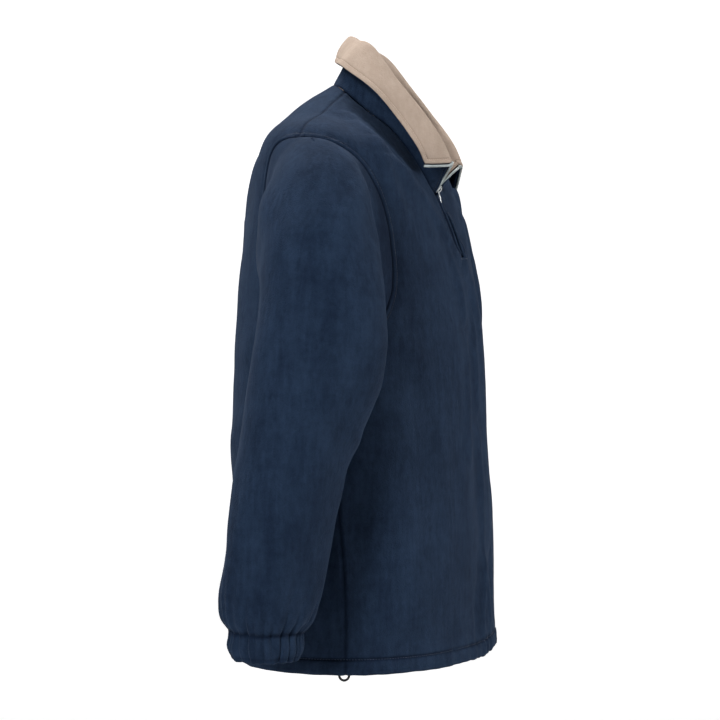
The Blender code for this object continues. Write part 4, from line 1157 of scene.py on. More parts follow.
class Value:
    """A value in a material's nodes that takes part in Python arithmetic."""
    def __init__(self, finish, socket):
        self.finish, self.socket = finish, socket

    def maths(self, operation, first, second):
        return self.finish.node("ShaderNodeMath", {"operation": operation}, {0: first, 1: second})

    def __add__(self, other):
        return self.maths("ADD", self, other)

    def __sub__(self, other):
        return self.maths("SUBTRACT", self, other)

    def __mul__(self, other):
        return self.maths("MULTIPLY", self, other)

    def __rsub__(self, other):
        return self.maths("SUBTRACT", other, self)

    __radd__ = __add__
    __rmul__ = __mul__


class Finish:
    """A material being built: constants go on its shader, the rest comes from nodes."""
    def __init__(self, name, constants):
        self.material = bpy.data.materials.new(name)
        self.material.use_nodes = True
        self.tree = self.material.node_tree
        self.shader = self.tree.nodes["Principled BSDF"]
        self.shade(constants)
        self.place = self.node("ShaderNodeTexCoord", output="Object")

    def node(self, kind, settings=None, inputs=None, output=0):
        """Any node: its settings first, then the values or links of its sockets."""
        made = self.tree.nodes.new(kind)
        for name, value in (settings or {}).items():
            setattr(made, name, value)
        for name, value in (inputs or {}).items():
            self.feed(made.inputs[name], value)
        return Value(self, made.outputs[output])

    def feed(self, socket, value):
        if isinstance(value, Value):
            self.tree.links.new(value.socket, socket)
        else:
            socket.default_value = value

    def shade(self, inputs):
        for name, value in inputs.items():
            self.feed(self.shader.inputs[name], value)

    def vector(self, operation, other, output=0):
        """The place in space, multiplied or dotted with a vector."""
        inputs = {0: self.place, 1: other}
        return self.node("ShaderNodeVectorMath", {"operation": operation}, inputs, output)

    def stretched(self, x, y, z):
        return self.vector("MULTIPLY", (x, y, z))

    def noise(self, scale, detail=2.0, rough=0.5, place=None):
        inputs = {"Vector": place or self.place, "Scale": scale, "Detail": detail,
                  "Roughness": rough}
        return self.node("ShaderNodeTexNoise", inputs=inputs)

    def cells(self, scale):
        return self.node("ShaderNodeTexVoronoi", inputs={"Vector": self.place, "Scale": scale})

    def reach(self, direction):
        """How far the place is that way, in metres."""
        return self.vector("DOT_PRODUCT", direction, output=1)

    def attribute(self, name):
        return self.node("ShaderNodeAttribute", {"attribute_name": name}, output="Fac")

    def wave(self, value, length):
        """A sine between 0 and 1 with that length in metres."""
        turn = value * (2 * pi / length)
        return self.node("ShaderNodeMath", {"operation": "SINE"}, {0: turn}) * 0.5 + 0.5

    def between(self, value, low, high):
        """A smooth step from 0 at low to 1 at high."""
        inputs = {"Value": value, "From Min": low, "From Max": high}
        return self.node("ShaderNodeMapRange", {"interpolation_type": "SMOOTHSTEP"}, inputs)

    def blend(self, factor, first, second):
        """A colour between two colours."""
        inputs = {0: factor, 6: (*first, 1.0), 7: (*second, 1.0)}
        return self.node("ShaderNodeMix", {"data_type": "RGBA"}, inputs, output=2)

    def bump(self, height, distance, strength):
        inputs = {"Height": height, "Distance": distance, "Strength": strength}
        self.shade({"Normal": self.node("ShaderNodeBump", inputs=inputs)})


def toned(colour, factor, added=0.0):
    return tuple(factor * part + added for part in colour)


def fleece(name, deep, brushed, sheen, sheen_tint, nap_depth):
    """Brushed fleece: mottled nap, faint knit lines, pressed flat at sewn lines and darker there
    and in creases, as pressed nap and painted shade.
    """
    cloth = Finish(name, {"Sheen Weight": sheen, "Sheen Roughness": 0.4,
                          "Specular IOR Level": 0.08, "Sheen Tint": (*sheen_tint, 1.0)})
    patches = cloth.noise(8.0, 5.0, 0.62)
    strokes = cloth.noise(46.0, 4.0, 0.65, cloth.stretched(1.0, 1.0, 0.3))
    across = cloth.noise(60.0, 3.0, 0.6, cloth.stretched(0.25, 0.25, 1.0))
    mottle = cloth.noise(150.0, 3.0, 0.6, cloth.stretched(1.0, 1.0, 0.7))
    wales = cloth.noise(210.0, 2.0, 0.5, cloth.stretched(1.0, 1.0, 0.1))
    fibres = cloth.noise(1150.0, 2.0, 0.7)
    tufts = cloth.cells(620.0)
    pressed = cloth.attribute("pressed")
    shade = patches * 0.6 + strokes * 0.8 + across * 0.3 + wales * 0.35
    shade = shade + mottle * 0.6 + fibres * 0.3 - tufts * 0.15
    # Painted shade: marked seams and creases pull the colour towards the deep navy, beside the
    # pressed nap.
    shade = cloth.between(shade - pressed * 0.6, 0.84, 2.0)
    tone = cloth.blend(shade, deep, brushed)
    cloth.shade({"Base Color": tone, "Roughness": fibres * 0.16 + 0.82})
    height = (1 - tufts) * 0.8 + fibres * 0.55 + wales * 0.5 + strokes * 1.1
    cloth.bump(height - pressed * 0.5, nap_depth, 0.75)
    return cloth.material


def woven_tape(name, colour):
    """Zip tape: fine herringbone, its raised threads a little lighter as a painted highlight."""
    tape = Finish(name, {"Specular IOR Level": 0.3})
    along, aside = tape.attribute("along"), tape.attribute("aside")
    zigzag = tape.wave(aside, 0.0032)
    threads = tape.wave(along + zigzag * 0.0016, 0.0008) * tape.wave(aside, 0.0007)
    fuzz = tape.noise(900.0, 2.0)
    # Painted highlight: the raised threads are coloured lighter.
    tone = tape.blend(threads * 0.7 + fuzz * 0.3, colour, toned(colour, 2.6, 0.006))
    tape.shade({"Base Color": tone, "Roughness": fuzz * 0.2 + 0.68})
    tape.bump(threads + fuzz * 0.3, 0.0002, 0.7)
    return tape.material


def moulded(name, colour, roughness):
    """Moulded plastic with faint mould marks and rubbed tone."""
    plastic = Finish(name, {"Specular IOR Level": 0.5})
    cloud = plastic.noise(140.0, 3.0)
    grain = plastic.noise(2600.0, 2.0)
    tone = plastic.blend(plastic.between(cloud, 0.25, 0.75), toned(colour, 0.72), colour)
    plastic.shade({"Base Color": tone, "Roughness": cloud * 0.2 + roughness})
    plastic.bump(grain, 0.0001, 0.25)
    return plastic.material


def cast_metal(name, colour):
    """Plated cast metal, rubbed and slightly cloudy."""
    metal = Finish(name, {"Metallic": 0.65, "Specular IOR Level": 0.6})
    cloud = metal.noise(260.0, 4.0, 0.6)
    scratches = metal.noise(900.0, 2.0, 0.5, metal.stretched(1.0, 0.2, 0.2))
    tone = metal.blend(metal.between(cloud, 0.3, 0.8), colour, toned(colour, 0.8))
    metal.shade({"Base Color": tone, "Roughness": cloud * 0.22 + scratches * 0.12 + 0.16})
    metal.bump(scratches + cloud * 0.5, 0.00008, 0.35)
    return metal.material


def braided(name, colour):
    """Braided elastic cord: two crossing runs of threads."""
    cord = Finish(name, {"Specular IOR Level": 0.35, "Sheen Weight": 0.2, "Sheen Roughness": 0.4})
    threads = (cord.wave(cord.reach((0.0, 0.8, 1.0)), 0.0011)
               * cord.wave(cord.reach((-0.8, 0.0, 1.0)), 0.0011))
    fuzz = cord.noise(1500.0, 2.0)
    tone = cord.blend(threads * 0.8 + fuzz * 0.2, colour, toned(colour, 3.2, 0.006))
    cord.shade({"Base Color": tone, "Roughness": fuzz * 0.2 + 0.6})
    cord.bump(threads + fuzz * 0.2, 0.00025, 0.8)
    return cord.material


def sewing_thread(name, colour):
    """Twisted polyester thread."""
    thread = Finish(name, {"Specular IOR Level": 0.4, "Sheen Weight": 0.3,
                           "Sheen Roughness": 0.3})
    twist = thread.noise(2200.0, 2.0, 0.6, thread.stretched(1.0, 1.0, 0.4))
    tone = thread.blend(twist, colour, toned(colour, 1.9, 0.008))
    thread.shade({"Base Color": tone, "Roughness": twist * 0.2 + 0.5})
    thread.bump(twist, 0.0001, 0.6)
    return thread.material


def plain_floor(name, colour, azimuth, glow):
    """A matt pale floor whose far end, away from the camera, glows with painted light as a
    studio's backdrop.

    The glow is full from 4.5 m ahead, and fades out beside the middle and up the floor's rim.
    """
    floor = Finish(name, {"Specular IOR Level": 0.1, "Emission Strength": glow})
    grain = floor.noise(30.0, 4.0)
    sine, cosine = sin(azimuth), cos(azimuth)
    ahead, aside = floor.reach((-sine, cosine, 0.0)), floor.reach((cosine, sine, 0.0))
    backdrop_glow = floor.between(ahead, 2.0, 4.5) * (1 - floor.between(aside * aside, 12.0, 45.0))
    backdrop_glow = backdrop_glow * (1 - floor.between(floor.reach((0.0, 0.0, 1.0)), 3.5, 8.0))
    floor.shade({"Base Color": floor.blend(grain, toned(colour, 0.98), colour),
                 "Roughness": grain * 0.1 + 0.85,
                 # Painted light: the far end of the floor glows as a white backdrop.
                 "Emission Color": floor.blend(backdrop_glow, (0.0, 0.0, 0.0), colour)})
    return floor.material


def finish_of(name):
    """One of the garment's finishes, made when it is first asked for."""
    if name in bpy.data.materials:
        return bpy.data.materials[name]
    cloth, trim = bpy.context.scene.pullover_cloth, bpy.context.scene.pullover_trim
    nap = cloth.nap_depth
    makers = {
        "brushed_navy": (fleece, cloth.navy, cloth.navy_brushed, 0.07, (0.3, 0.42, 0.66), nap),
        "brushed_beige": (fleece, cloth.beige, cloth.beige_brushed, 0.1, (0.9, 0.8, 0.7), nap),
        "zip_tape_weave": (woven_tape, trim.tape),
        "moulded_teeth": (moulded, trim.teeth, 0.3),
        "moulded_stop": (moulded, trim.stop, 0.42),
        "plated_metal": (cast_metal, trim.metal),
        "cord_braid": (braided, trim.cord),
        "navy_thread": (sewing_thread, cloth.navy_thread),
        "beige_thread": (sewing_thread, cloth.beige_thread),
    }
    make, *looks = makers[name]
    return make(name, *looks)


# ---- body of the garment

def near(marks, steps, even):
    """An even run of values with steps closed up round the marks, none nearly the same."""
    values = np.unique(np.concatenate([even] + [mark + steps for mark in marks]))
    values = values[(values >= even[0] - 1e-9) & (values <= even[-1] + 1e-9)]
    keep = np.concatenate([[True], np.diff(values) > NEARLY_SAME])
    keep[-1] = True
    return values[keep]


def panel_levels():
    """Levels of a panel's rows from its turned edge to the neck, the zip's foot among them."""
    top = NECK_LEVEL - EDGE_GAP
    below = np.arange(ROLL_EDGE, ARMHOLE["low"], PANEL_STEP)
    above = np.arange(ARMHOLE["high"], top, PANEL_STEP)
    levels = near([HEM_STITCH], LINE_STEPS, np.append(below, ARMHOLE["low"]))
    top_levels = near([top], -SEAM_STEPS, np.append(above, top))
    return np.unique(np.concatenate([levels, armhole_levels(ARMHOLE_ROWS), top_levels]))


def zip_foot():
    """The row of the solids' panels at which the zip ends."""
    top = NECK_LEVEL - EDGE_GAP
    solid_levels = np.append(armhole_levels(10), top)
    return solid_levels[np.argmin(np.abs(solid_levels - level_below_neck(ZIP_BELOW_NECK)))]


ZIP_FOOT = zip_foot()
STOP_LEVELS = [ZIP_FOOT + gap for gap in (STOP_FROM_FOOT, STOP_FROM_FOOT + STOP_LENGTH)]


def edge_columns(edge, inward, up):
    """Across values that close up to a seam edge, by metres in from it."""
    scale = metres_per_across(edge, up)
    return edge[:, None] + inward * SEAM_STEPS / scale[:, None]


def front_columns(up):
    """Across values of the front's grid from the centre to the side seam.

    The slit's edges close up between its foot and the neck, where the zip holds them.
    """
    closed = rise((NECK_LEVEL - 0.012 - up) / 0.018) * rise((up - ZIP_FOOT) / 0.01)
    slit = (beside_zip(SLIT_HALF_WIDTH, up) - beside_zip(SLIT_CLOSES_BY, up) * closed)[:, None]
    by_slit = slit + beside_zip(1.0, up)[:, None] * SEAM_STEPS
    by_seam = edge_columns(panel_edge(up, 0), -1, up)[:, ::-1]
    share = np.linspace(0, 1, FRONT_COLUMNS + 2)[1:-1]
    even = by_slit[:, -1:] + (by_seam[:, :1] - by_slit[:, -1:]) * share
    middle = slit * FRONT_BESIDE_CENTRE
    return np.column_stack([middle, by_slit, even, by_seam])


def back_columns(up):
    by_seam = edge_columns(panel_edge(up, 2), 1, up)
    share = np.linspace(0, 1, BACK_COLUMNS + 1)[1:]
    even = by_seam[:, -1:] + (2 - by_seam[:, -1:]) * share
    return np.column_stack([by_seam, even])


def panel_patch(side, levels, across, round_edge=0.0):
    up = np.repeat(levels[:, None], across.shape[1], axis=1)
    points, normals = torso_grid(side, across, up)
    lift, pressed = torso_relief(side, across.ravel(), up.ravel(), points.reshape(-1, 3))
    return Patch(points, normals, lift.reshape(up.shape), pressed.reshape(up.shape), round_edge)


def flipped(patch):
    """The same grid with its rows in the other order."""
    values = [value[::-1] for value in patch.values]
    return Patch(patch.points[::-1], patch.normals[::-1], *values)


def hem_rows(levels):
    return int(np.searchsorted(levels, HEM_STITCH + 1e-6)) - 1


def make_front():
    levels = panel_levels()
    foot = int(np.argmin(np.abs(levels - ZIP_FOOT)))
    levels[foot] = ZIP_FOOT
    low, high = levels[:foot + 1], levels[foot:]
    slit_column = len(FRONT_BESIDE_CENTRE)
    patches, cuts = [], []
    for side in SIDES:
        whole = panel_patch(side, low, front_columns(low))
        cuts.append(whole)
        patches.append(turned_edge(flipped(whole), hem_rows(low)))
        across = front_columns(high)[:, slit_column:]
        free = np.zeros(across.shape)
        free[:, 0] = 1.0
        patches.append(panel_patch(side, high, across, free))
        cuts.append(patches[-1])
    piece = navy_piece("front_panel", patches, "front", "hem_front")
    half, _, area = flat_size([cuts[0]])
    _, _, top_area = flat_size([cuts[1]])
    area = 2 * (area + top_area + HEM_STITCH * half)
    declare_sheet(piece, "hung", 2 * half, NECK_LEVEL + HEM_STITCH, area)


def make_back():
    levels = panel_levels()
    cuts = [panel_patch(side, levels, back_columns(levels)) for side in SIDES]
    patches = [turned_edge(flipped(cut), hem_rows(levels)) for cut in cuts]
    piece = navy_piece("back_panel", patches, "back", "hem_back")
    width, _, area = flat_size(cuts)
    declare_sheet(piece, "hung", width, NECK_LEVEL + HEM_STITCH, area + HEM_STITCH * width)


# ---- sleeves and cuffs

def arm_patch(side, turns, lengths, relief):
    turn, along = np.meshgrid(turns, lengths)
    points = on_grid(arm(side), turn, along)
    normals = side * surface_normal(arm(side), turn.ravel(), along.ravel()).reshape(points.shape)
    lift, pressed = relief(turn.ravel(), along.ravel(), points.reshape(-1, 3))
    lift, pressed = lift.reshape(turn.shape), pressed.reshape(turn.shape)
    points[:, -1], normals[:, -1], lift[:, -1] = points[:, 0], normals[:, 0], lift[:, 0]
    return Patch(points, normals, lift, pressed)


def make_sleeve(side):
    name = SIDE_NAMES[side]
    turns = near([pi], UNDERARM_STEPS, np.linspace(0, 2 * pi, SLEEVE_COLUMNS + 1))
    end = CUFF_START - EDGE_GAP
    lengths = near([0.0], SEAM_STEPS, np.linspace(0, end, SLEEVE_ROWS + 1))
    lengths = near([end], -SEAM_STEPS, lengths)
    patch = arm_patch(side, turns, lengths, sleeve_relief)
    piece = navy_piece(f"{name}_sleeve", [patch], f"sleeve_{name}")
    declare_sheet(piece, "hung", *flat_size([patch]))


def make_cuff(side):
    name = SIDE_NAMES[side]
    turns = np.linspace(0, 2 * pi, CUFF_COLUMNS + 1)
    start = CUFF_START + EDGE_GAP
    even = np.linspace(start, ARM_LENGTHS[-1] - ROLL_EDGE, CUFF_ROWS + 1)
    lengths = near([start], SEAM_STEPS[:8], even)
    patch = arm_patch(side, turns, lengths, cuff_relief)
    turned = turned_edge(patch, CUFF_TURN_UP_ROWS)
    piece = navy_piece(f"{name}_cuff", [turned], f"cuff_{name}")
    width, length, area = flat_size([turned])
    declare_sheet(piece, "gathered", width * GATHER_TAKE_UP, length, area * GATHER_TAKE_UP)


# ---- collar

def collar_rows():
    """Rows up the stand, over the roll and down the flap, closer at the neck and the edge."""
    stand = np.linspace(0, 1, COLLAR_ROWS["stand"] + 1)
    stand = np.unique(np.concatenate([stand, [0.01, 0.025, 0.045]]))
    roll = np.linspace(1, 2, COLLAR_ROWS["roll"] + 1)[1:]
    flap = np.linspace(2, 3, COLLAR_ROWS["flap"] + 1)[1:]
    by_edge = 3 - np.array([0.012, 0.028, 0.075, 0.095, 0.115, 0.13, 0.145, 0.165, 0.19])
    return np.concatenate([stand, roll, np.unique(np.concatenate([flap, by_edge]))])


def collar_angles():
    """Degrees round the collar from its front edge to the centre back."""
    from_front = np.array([0, 0.5, 1.0, 1.7, 2.5, 3.4, 4.2, 4.8, 5.3, 5.8, 6.4, 7.2, 8.2, 9.4])
    even = np.linspace(COLLAR_FRONT + from_front[-1], 180, COLLAR_COLUMNS_A_SIDE)[1:]
    return np.concatenate([COLLAR_FRONT + from_front, even])


def collar_layer(side, inner):
    """One half of the beige lining (inner) or the navy outer layer of the collar."""
    angle, v = np.meshgrid(collar_angles(), collar_rows())
    normals = on_grid(collar_normal(side), angle, v)
    points = on_grid(collar_lining(side), angle, v)
    if inner:
        points += normals * COLLAR_THICKNESS
    points[np.isclose(angle, 180), 0] = 0.0
    normals[np.isclose(angle, 180), 0] = 0.0
    from_neck, from_front = metres_along(points, 0), metres_along(points, 1)
    from_edge = metres_along(points[::-1], 0)[::-1]
    lines = {"edge": np.minimum(from_edge, from_front), "neck": from_neck}
    lift, pressed = by_seams(COLLAR_SEAMS, lines)
    lift += 0.7 * unevenness(points.reshape(-1, 3)).reshape(v.shape)
    lift += 0.0003 * falls_off(lines["edge"], 0.004, 0.0015)
    pressed = np.clip(pressed, 0, 1)
    free = np.zeros(v.shape)
    free[-1], free[:, 0] = 1.0, 1.0
    return Patch(points, normals if inner else -normals, lift, pressed, free)


def make_collar():
    for name, inner, slot, finish in (("collar_shell", False, "navy_fleece", "brushed_navy"),
                                      ("collar_facing", True, "beige_fleece", "brushed_beige")):
        patches = [collar_layer(side, inner) for side in SIDES]
        piece = shell(name, patches, COLLAR_LAYER, finish_of(finish))
        dress(piece, ("collar_inner" if inner else "collar_outer",))
        declare_sheet(piece, "folded", *flat_size(patches))


# ---- zip

def make_zip_tape(side):
    """One tape: behind the front, then along the collar's front edge to its corner."""
    name = SIDE_NAMES[side]
    edge = CHAIN_HALF_WIDTH + TAPE_FROM_CHAIN
    count = 7
    top = level_below_neck(TAPE_NARROWS)
    rows, facing = [], []
    for level in np.append(np.arange(ZIP_FOOT, top - 0.001, 0.002), top):
        widest = SLIT_HALF_WIDTH + TAPE_HIDDEN if level < top else SLIT_HALF_WIDTH - SEAM_GAP
        depth = FLEECE + (SEAM_GAP if level < top else 0.0) + TAPE_THICKNESS
        spread = np.linspace(edge, widest, count)
        place, out = torso_zip_place(side, np.full(count, level), spread, depth)
        rows.append(place)
        facing.append(-out)
    spread = np.linspace(edge, SLIT_HALF_WIDTH - SEAM_GAP, count)
    for v in collar_rows():
        depth = (COLLAR_THICKNESS + TAPE_THICKNESS) / 2
        place, out = collar_zip_place(side, np.full(count, v), SLIT_HALF_WIDTH - spread, depth)
        rows.append(place)
        facing.append(out)
    points = np.array(rows)
    along = np.repeat(running_length(points[:, 0])[:, None], count, axis=1)
    aside = np.repeat(spread[None], len(points), axis=0)
    patch = Patch(points, np.array(facing), along=along, aside=aside)
    piece = shell(f"{name}_zip_tape", [patch], TAPE_THICKNESS, finish_of("zip_tape_weave"))
    dress(piece, (f"zip_tape_{name}",))
    declare_sheet(piece, "stretched", *flat_size([patch]))


def capped(rings):
    """A closed solid through equal rings of points, as (vertices, faces)."""
    count = len(rings[0])
    faces = []
    for start in range(0, (len(rings) - 1) * count, count):
        for k in range(count):
            after = (k + 1) % count
            faces.append((start + k, start + after, start + count + after, start + count + k))
    faces.append(tuple(range(count))[::-1])
    faces.append(tuple(range((len(rings) - 1) * count, len(rings) * count)))
    return np.concatenate(rings), faces


def prism(outline, levels):
    """A closed solid: an outline of (x, y) points at each (height, inset scale) level."""
    outline = np.asarray(outline, float)
    count = len(outline)
    centre = outline.mean(axis=0)
    rings = [np.column_stack([centre + (outline - centre) * scale, np.full(count, height)])
             for height, scale in levels]
    return capped(rings)


def tube(path, radius, sides=10, flat=1.0):
    """A closed round bar along a path of points, with domed ends."""
    path = np.asarray(path, float)
    tangents = unit(np.gradient(path, axis=0))
    side_way = np.cross(tangents[0], (0.3, 0.5, 0.8))
    rings = []
    turn = np.linspace(0, 2 * pi, sides, endpoint=False)
    for index, (place, tangent) in enumerate(zip(path, tangents)):
        side_way = unit(side_way - tangent * (side_way @ tangent))
        up_way = np.cross(tangent, side_way)
        ring = radius * (np.cos(turn)[:, None] * side_way + flat * np.sin(turn)[:, None] * up_way)
        dome = tangent * radius * 0.45
        if index == 0:
            rings.append(place - dome + ring * 0.5)
        rings.append(place + ring)
        if index == len(path) - 1:
            rings.append(place + dome + ring * 0.5)
    return capped(rings)


def placed(solid, place, axes):
    """A solid moved into a frame: axes are the directions of its x, y and z."""
    vertices, faces = solid
    axes = np.asarray(axes, float)
    moved = np.asarray(place) + vertices @ axes
    if np.linalg.det(axes) < 0:
        faces = [face[::-1] for face in faces]
    return moved, faces


def gathered(solids):
    """Several solids as one list of vertices and faces."""
    vertices, faces, count = [], [], 0
    for points, corners in solids:
        vertices.append(points)
        faces += [tuple(int(k) + count for k in face) for face in corners]
        count += len(points)
    return np.concatenate(vertices), faces


def tooth(pitch):
    """A moulded tooth: x from its tape to its rounded head, y along the zip, z out.

    shape is in millimetres across the zip and pitches along it.
    """
    shape = [(-1.5, -0.27), (0.2, -0.27), (0.7, -0.21), (1.0, -0.3), (1.35, -0.24), (1.5, -0.09),
             (1.5, 0.09), (1.35, 0.24), (1.0, 0.3), (0.7, 0.21), (0.2, 0.27), (-1.5, 0.27)]
    outline = [(x / 1000, y * pitch) for x, y in shape]
    half = CHAIN_THICKNESS / 2
    levels = [(-half, 0.8), (-half * 0.82, 0.96), (-half * 0.3, 1.0), (half * 0.3, 1.0),
              (half * 0.82, 0.96), (half, 0.8)]
    return prism(outline, levels)


def evenly(points, spacing, start=0.0):
    """Parameters from 0 to the last index at which a line of points is a spacing apart."""
    lengths = running_length(points)
    at = np.arange(start, lengths[-1], spacing)
    return np.interp(at, lengths, np.arange(len(points)))


def read_line(values, at):
    """Points between a line's points, at parameters that count its points."""
    index = np.arange(len(values))
    return np.stack([np.interp(at, index, values[:, k]) for k in range(3)], axis=1)


def make_open_teeth(side, pitch):
    """One side's teeth above the slider, clamped on the tape's edge."""
    name = SIDE_NAMES[side]
    v = np.linspace(CHAIN_START, 3.0, 400)
    depth = COLLAR_THICKNESS / 2
    centre = np.full(len(v), SLIT_HALF_WIDTH - TOOTH_MIDDLE)
    points, normals = collar_zip_place(side, v, centre, depth)
    ahead, _ = collar_zip_place(side, v, centre + 0.001, depth)
    at = evenly(points, pitch, pitch * TOOTH_OFFSET[side])
    solids = []
    for place, near_head, out in zip(*(read_line(line, at) for line in (points, ahead, normals))):
        head = unit(near_head - place)
        out = unit(out - head * (out @ head))
        solids.append(placed(tooth(pitch), place, (head, np.cross(out, head), out)))
    piece = smooth_object(f"{name}_zip_teeth", *gathered(solids), finish_of("moulded_teeth"))
    dress(piece, (f"zip_chain_{name}",))


def make_closed_teeth(pitch):
    """The meshed teeth below the slider, from both tapes in turn."""
    levels = np.linspace(STOP_LEVELS[0] + 0.001, level_below_neck(0.001), 200)
    solids = []
    for side in SIDES:
        root = np.full(len(levels), TOOTH_MIDDLE)
        depth = CHAIN_DEPTH + CHAIN_DEEPER + CHAIN_THICKNESS / 2
        points, normals = torso_zip_place(side, levels, root, depth)
        at = evenly(points, pitch, pitch * TOOTH_OFFSET[side])
        for place, out in zip(read_line(points, at), read_line(normals, at)):
            head = np.array([-float(side), 0.0, 0.0])
            out = unit(out * (0, 1, 1))
            solids.append(placed(tooth(pitch), place, (head, np.cross(out, head), out)))
    piece = smooth_object("closed_zip_teeth", *gathered(solids), finish_of("moulded_teeth"))
    dress(piece, ("zip_chain",))


def rounded_outline(corners, radius, steps=4):
    """A closed outline with its corners rounded off."""
    corners = np.asarray(corners, float)
    outline = []
    for index, corner in enumerate(corners):
        before, after = corners[index - 1], corners[(index + 1) % len(corners)]
        to_before, to_after = unit(before - corner), unit(after - corner)
        for step in np.linspace(0, 1, steps + 1):
            start, end = corner + to_before * radius, corner + to_after * radius
            outline.append((1 - step) ** 2 * start + 2 * step * (1 - step) * corner
                           + step ** 2 * end)
    return np.array(outline)


def both_halves(right, *middle):
    """A closed outline: its right half, its middle points and the same half on the left."""
    left = [(-x, y) for x, y in reversed(right)]
    return [left[-1], *right, *middle, *left[:-1]]


def plate_levels(low, high):
    """Levels of a plate with small bevels."""
    bevel = min(0.0002, (high - low) / 3)
    return [(low, 0.94), (low + bevel, 1.0), (high - bevel, 1.0), (high, 0.94)]


def make_slider():
    """Two waisted plates round the teeth, joined by a post, with side flanges and a bridge."""
    place, down, out = slider_frame()
    size = SLIDER
    half, long_half = size["width"] / 2, size["length"] / 2
    face = CHAIN_THICKNESS / 2 + size["clearance"]
    reach = face + size["plate"]
    right = [(0.66, 1.0), (0.8, 0.2), (1.0, -0.55), (0.86, -1.0), (0.22, -0.96)]
    corners = [(half * x, long_half * y) for x, y in both_halves(right, (0.0, -0.62))]
    outline = rounded_outline(corners, size["corner"])
    solids = [prism(outline, plate_levels(low, low + size["plate"])) for low in (face, -reach)]
    post = rounded_outline([(-0.0005, -long_half * 0.6), (0.0005, -long_half * 0.6),
                            (0.0004, -0.0022), (-0.0004, -0.0022)], 0.0002)
    solids.append(prism(post, [(-face, 1.0), (face, 1.0)]))
    for side in SIDES:
        lip = [(side * half * 0.62, long_half * 0.92), (side * half * 0.7, 0.0012),
               (side * half * 0.86, -long_half * 0.45)]
        for level in (face - 0.0002, -face + 0.0002):
            solids.append(tube([(x, y, level) for x, y in lip], size["lip"], 8))
    bridge_half = size["bridge_length"] / 2 - size["plate"] / 2
    turn = np.linspace(0, pi, 15)
    below, beyond = (HINGE - place) @ down, (HINGE - place) @ out - reach
    bow = size["bridge_bow"]
    share = sqrt(1 - (below / bridge_half) ** 2) ** bow
    height = (beyond + PULL["bar"] / 2 + size["bridge_clear"]) / share
    arch = [(0.0, -bridge_half * cos(t), reach - 0.0002 + height * sin(t) ** bow)
            for t in turn]
    solids.append(tube(arch, size["bridge_width"] / 2, 10, size["bridge_flat"]))
    made = placed(gathered(solids), place, (ACROSS, down, out))
    piece = smooth_object("slider", *made, finish_of("plated_metal"))
    dress(piece, ("zip_slider",))


def make_pull():
    """The pull tab: an eye round the bridge, and a waisted plate with a raised rim."""
    pivot, hang, out = pull_frame()
    size = PULL
    half = size["width"] / 2
    thick = size["thickness"] / 2
    long, eye_end = size["length"], size["eye"]
    corners = both_halves([(half * 0.62, eye_end - 0.0006), (half * 0.7, long * 0.52),
                           (half, long * 0.8), (half * 0.82, long)])
    outline = rounded_outline(corners, size["corner"])
    solids = [prism(outline, plate_levels(-thick * 0.7, thick * 0.7))]
    centre = outline.mean(axis=0)
    for level in (-thick * 0.62, thick * 0.62):
        rim = [(*(centre + (point - centre) * 0.9), level) for point in outline]
        solids.append(tube(rim + rim[:1], size["rim"], 6))
    ring_half = half - size["arm"] / 2
    right = [(ring_half * 0.93, 0.0), (ring_half, 0.0005), (ring_half, eye_end * 0.7),
             (half * 0.5, eye_end + 0.0004)]
    eye = np.array([(-x, y, 0.0) for x, y in reversed(right)] + [(x, y, 0.0) for x, y in right])
    at = [*(k + share for k in range(len(eye) - 1) for share in (0.0, 0.33, 0.67)), len(eye) - 1]
    solids.append(tube(read_line(eye, at), size["bar"] / 2, 10))
    made = placed(gathered(solids), pivot, (ACROSS, hang, out))
    piece = smooth_object("pull", *made, finish_of("plated_metal"))
    dress(piece, ("pull_tab",), "pull_tab")


def make_stop():
    """The bottom stop: a crimped clip over the last teeth."""
    levels = np.array([np.mean(STOP_LEVELS), *STOP_LEVELS])
    depth = CHAIN_DEPTH + CHAIN_THICKNESS / 2
    (middle, low, high), normals = torso_zip_place(-1, levels, np.zeros(3), depth)
    down, out = unit(low - high), unit(normals[0] * (0, 1, 1))
    half, long_half = STOP_HALF_WIDTH + SEAM_GAP, STOP_LENGTH / 2
    top = CHAIN_THICKNESS / 2 + STOP_THICKNESS
    corners = [(-half, -long_half), (half, -long_half), (half, long_half), (-half, long_half)]
    body = rounded_outline(corners, 0.0012)
    solids = [prism(body, [(-top * 0.9, 0.92), (-top * 0.7, 1.0), (top * 0.7, 1.0), (top, 0.9)])]
    for along in (-STOP_RIB_SPACING, 0.0, STOP_RIB_SPACING):
        rib = [(-half * 0.8, along, top), (0.0, along, top + 0.0001), (half * 0.8, along, top)]
        solids.append(tube(rib, 0.0004, 6))
    made = placed(gathered(solids), middle * (0, 1, 1), (ACROSS, down, out))
    piece = smooth_object("bottom_stop", *made, finish_of("moulded_stop"))
    dress(piece, ("zip_stop",))


# ---- hem cords

def cord_route(side):
    """The cord's way out of the casing, round its loop and back in, as in the solid."""
    level = np.array([0.0])
    across = np.array([CORD_ACROSS])
    inside = FLEECE + TURN_UP_LAYER + SEAM_GAP + CORD_CLEARANCE + CORD_DIAMETER / 2
    surface = torso(side)(across, level) - torso_out(side, across, level) * inside
    ahead = torso(side)(across - 0.01, level) - torso(side)(across + 0.01, level)
    along = unit(ahead * (1, 1, 0))[0]
    low = surface[0]
    straight = np.linspace(CORD_REACH_UP, CORD_LOOP_RADIUS - CORD_DROP, 6)
    route = [low - along * CORD_LOOP_RADIUS + (0, 0, height) for height in straight]
    centre = low + (0, 0, CORD_LOOP_RADIUS - CORD_DROP)
    for turn in np.linspace(pi, 2 * pi, 13)[1:-1]:
        off = along * cos(turn) + np.array([0.0, 0.0, sin(turn)])
        route.append(centre + CORD_LOOP_RADIUS * off)
    route += [low + along * CORD_LOOP_RADIUS + (0, 0, height) for height in reversed(straight)]
    return np.array(route)


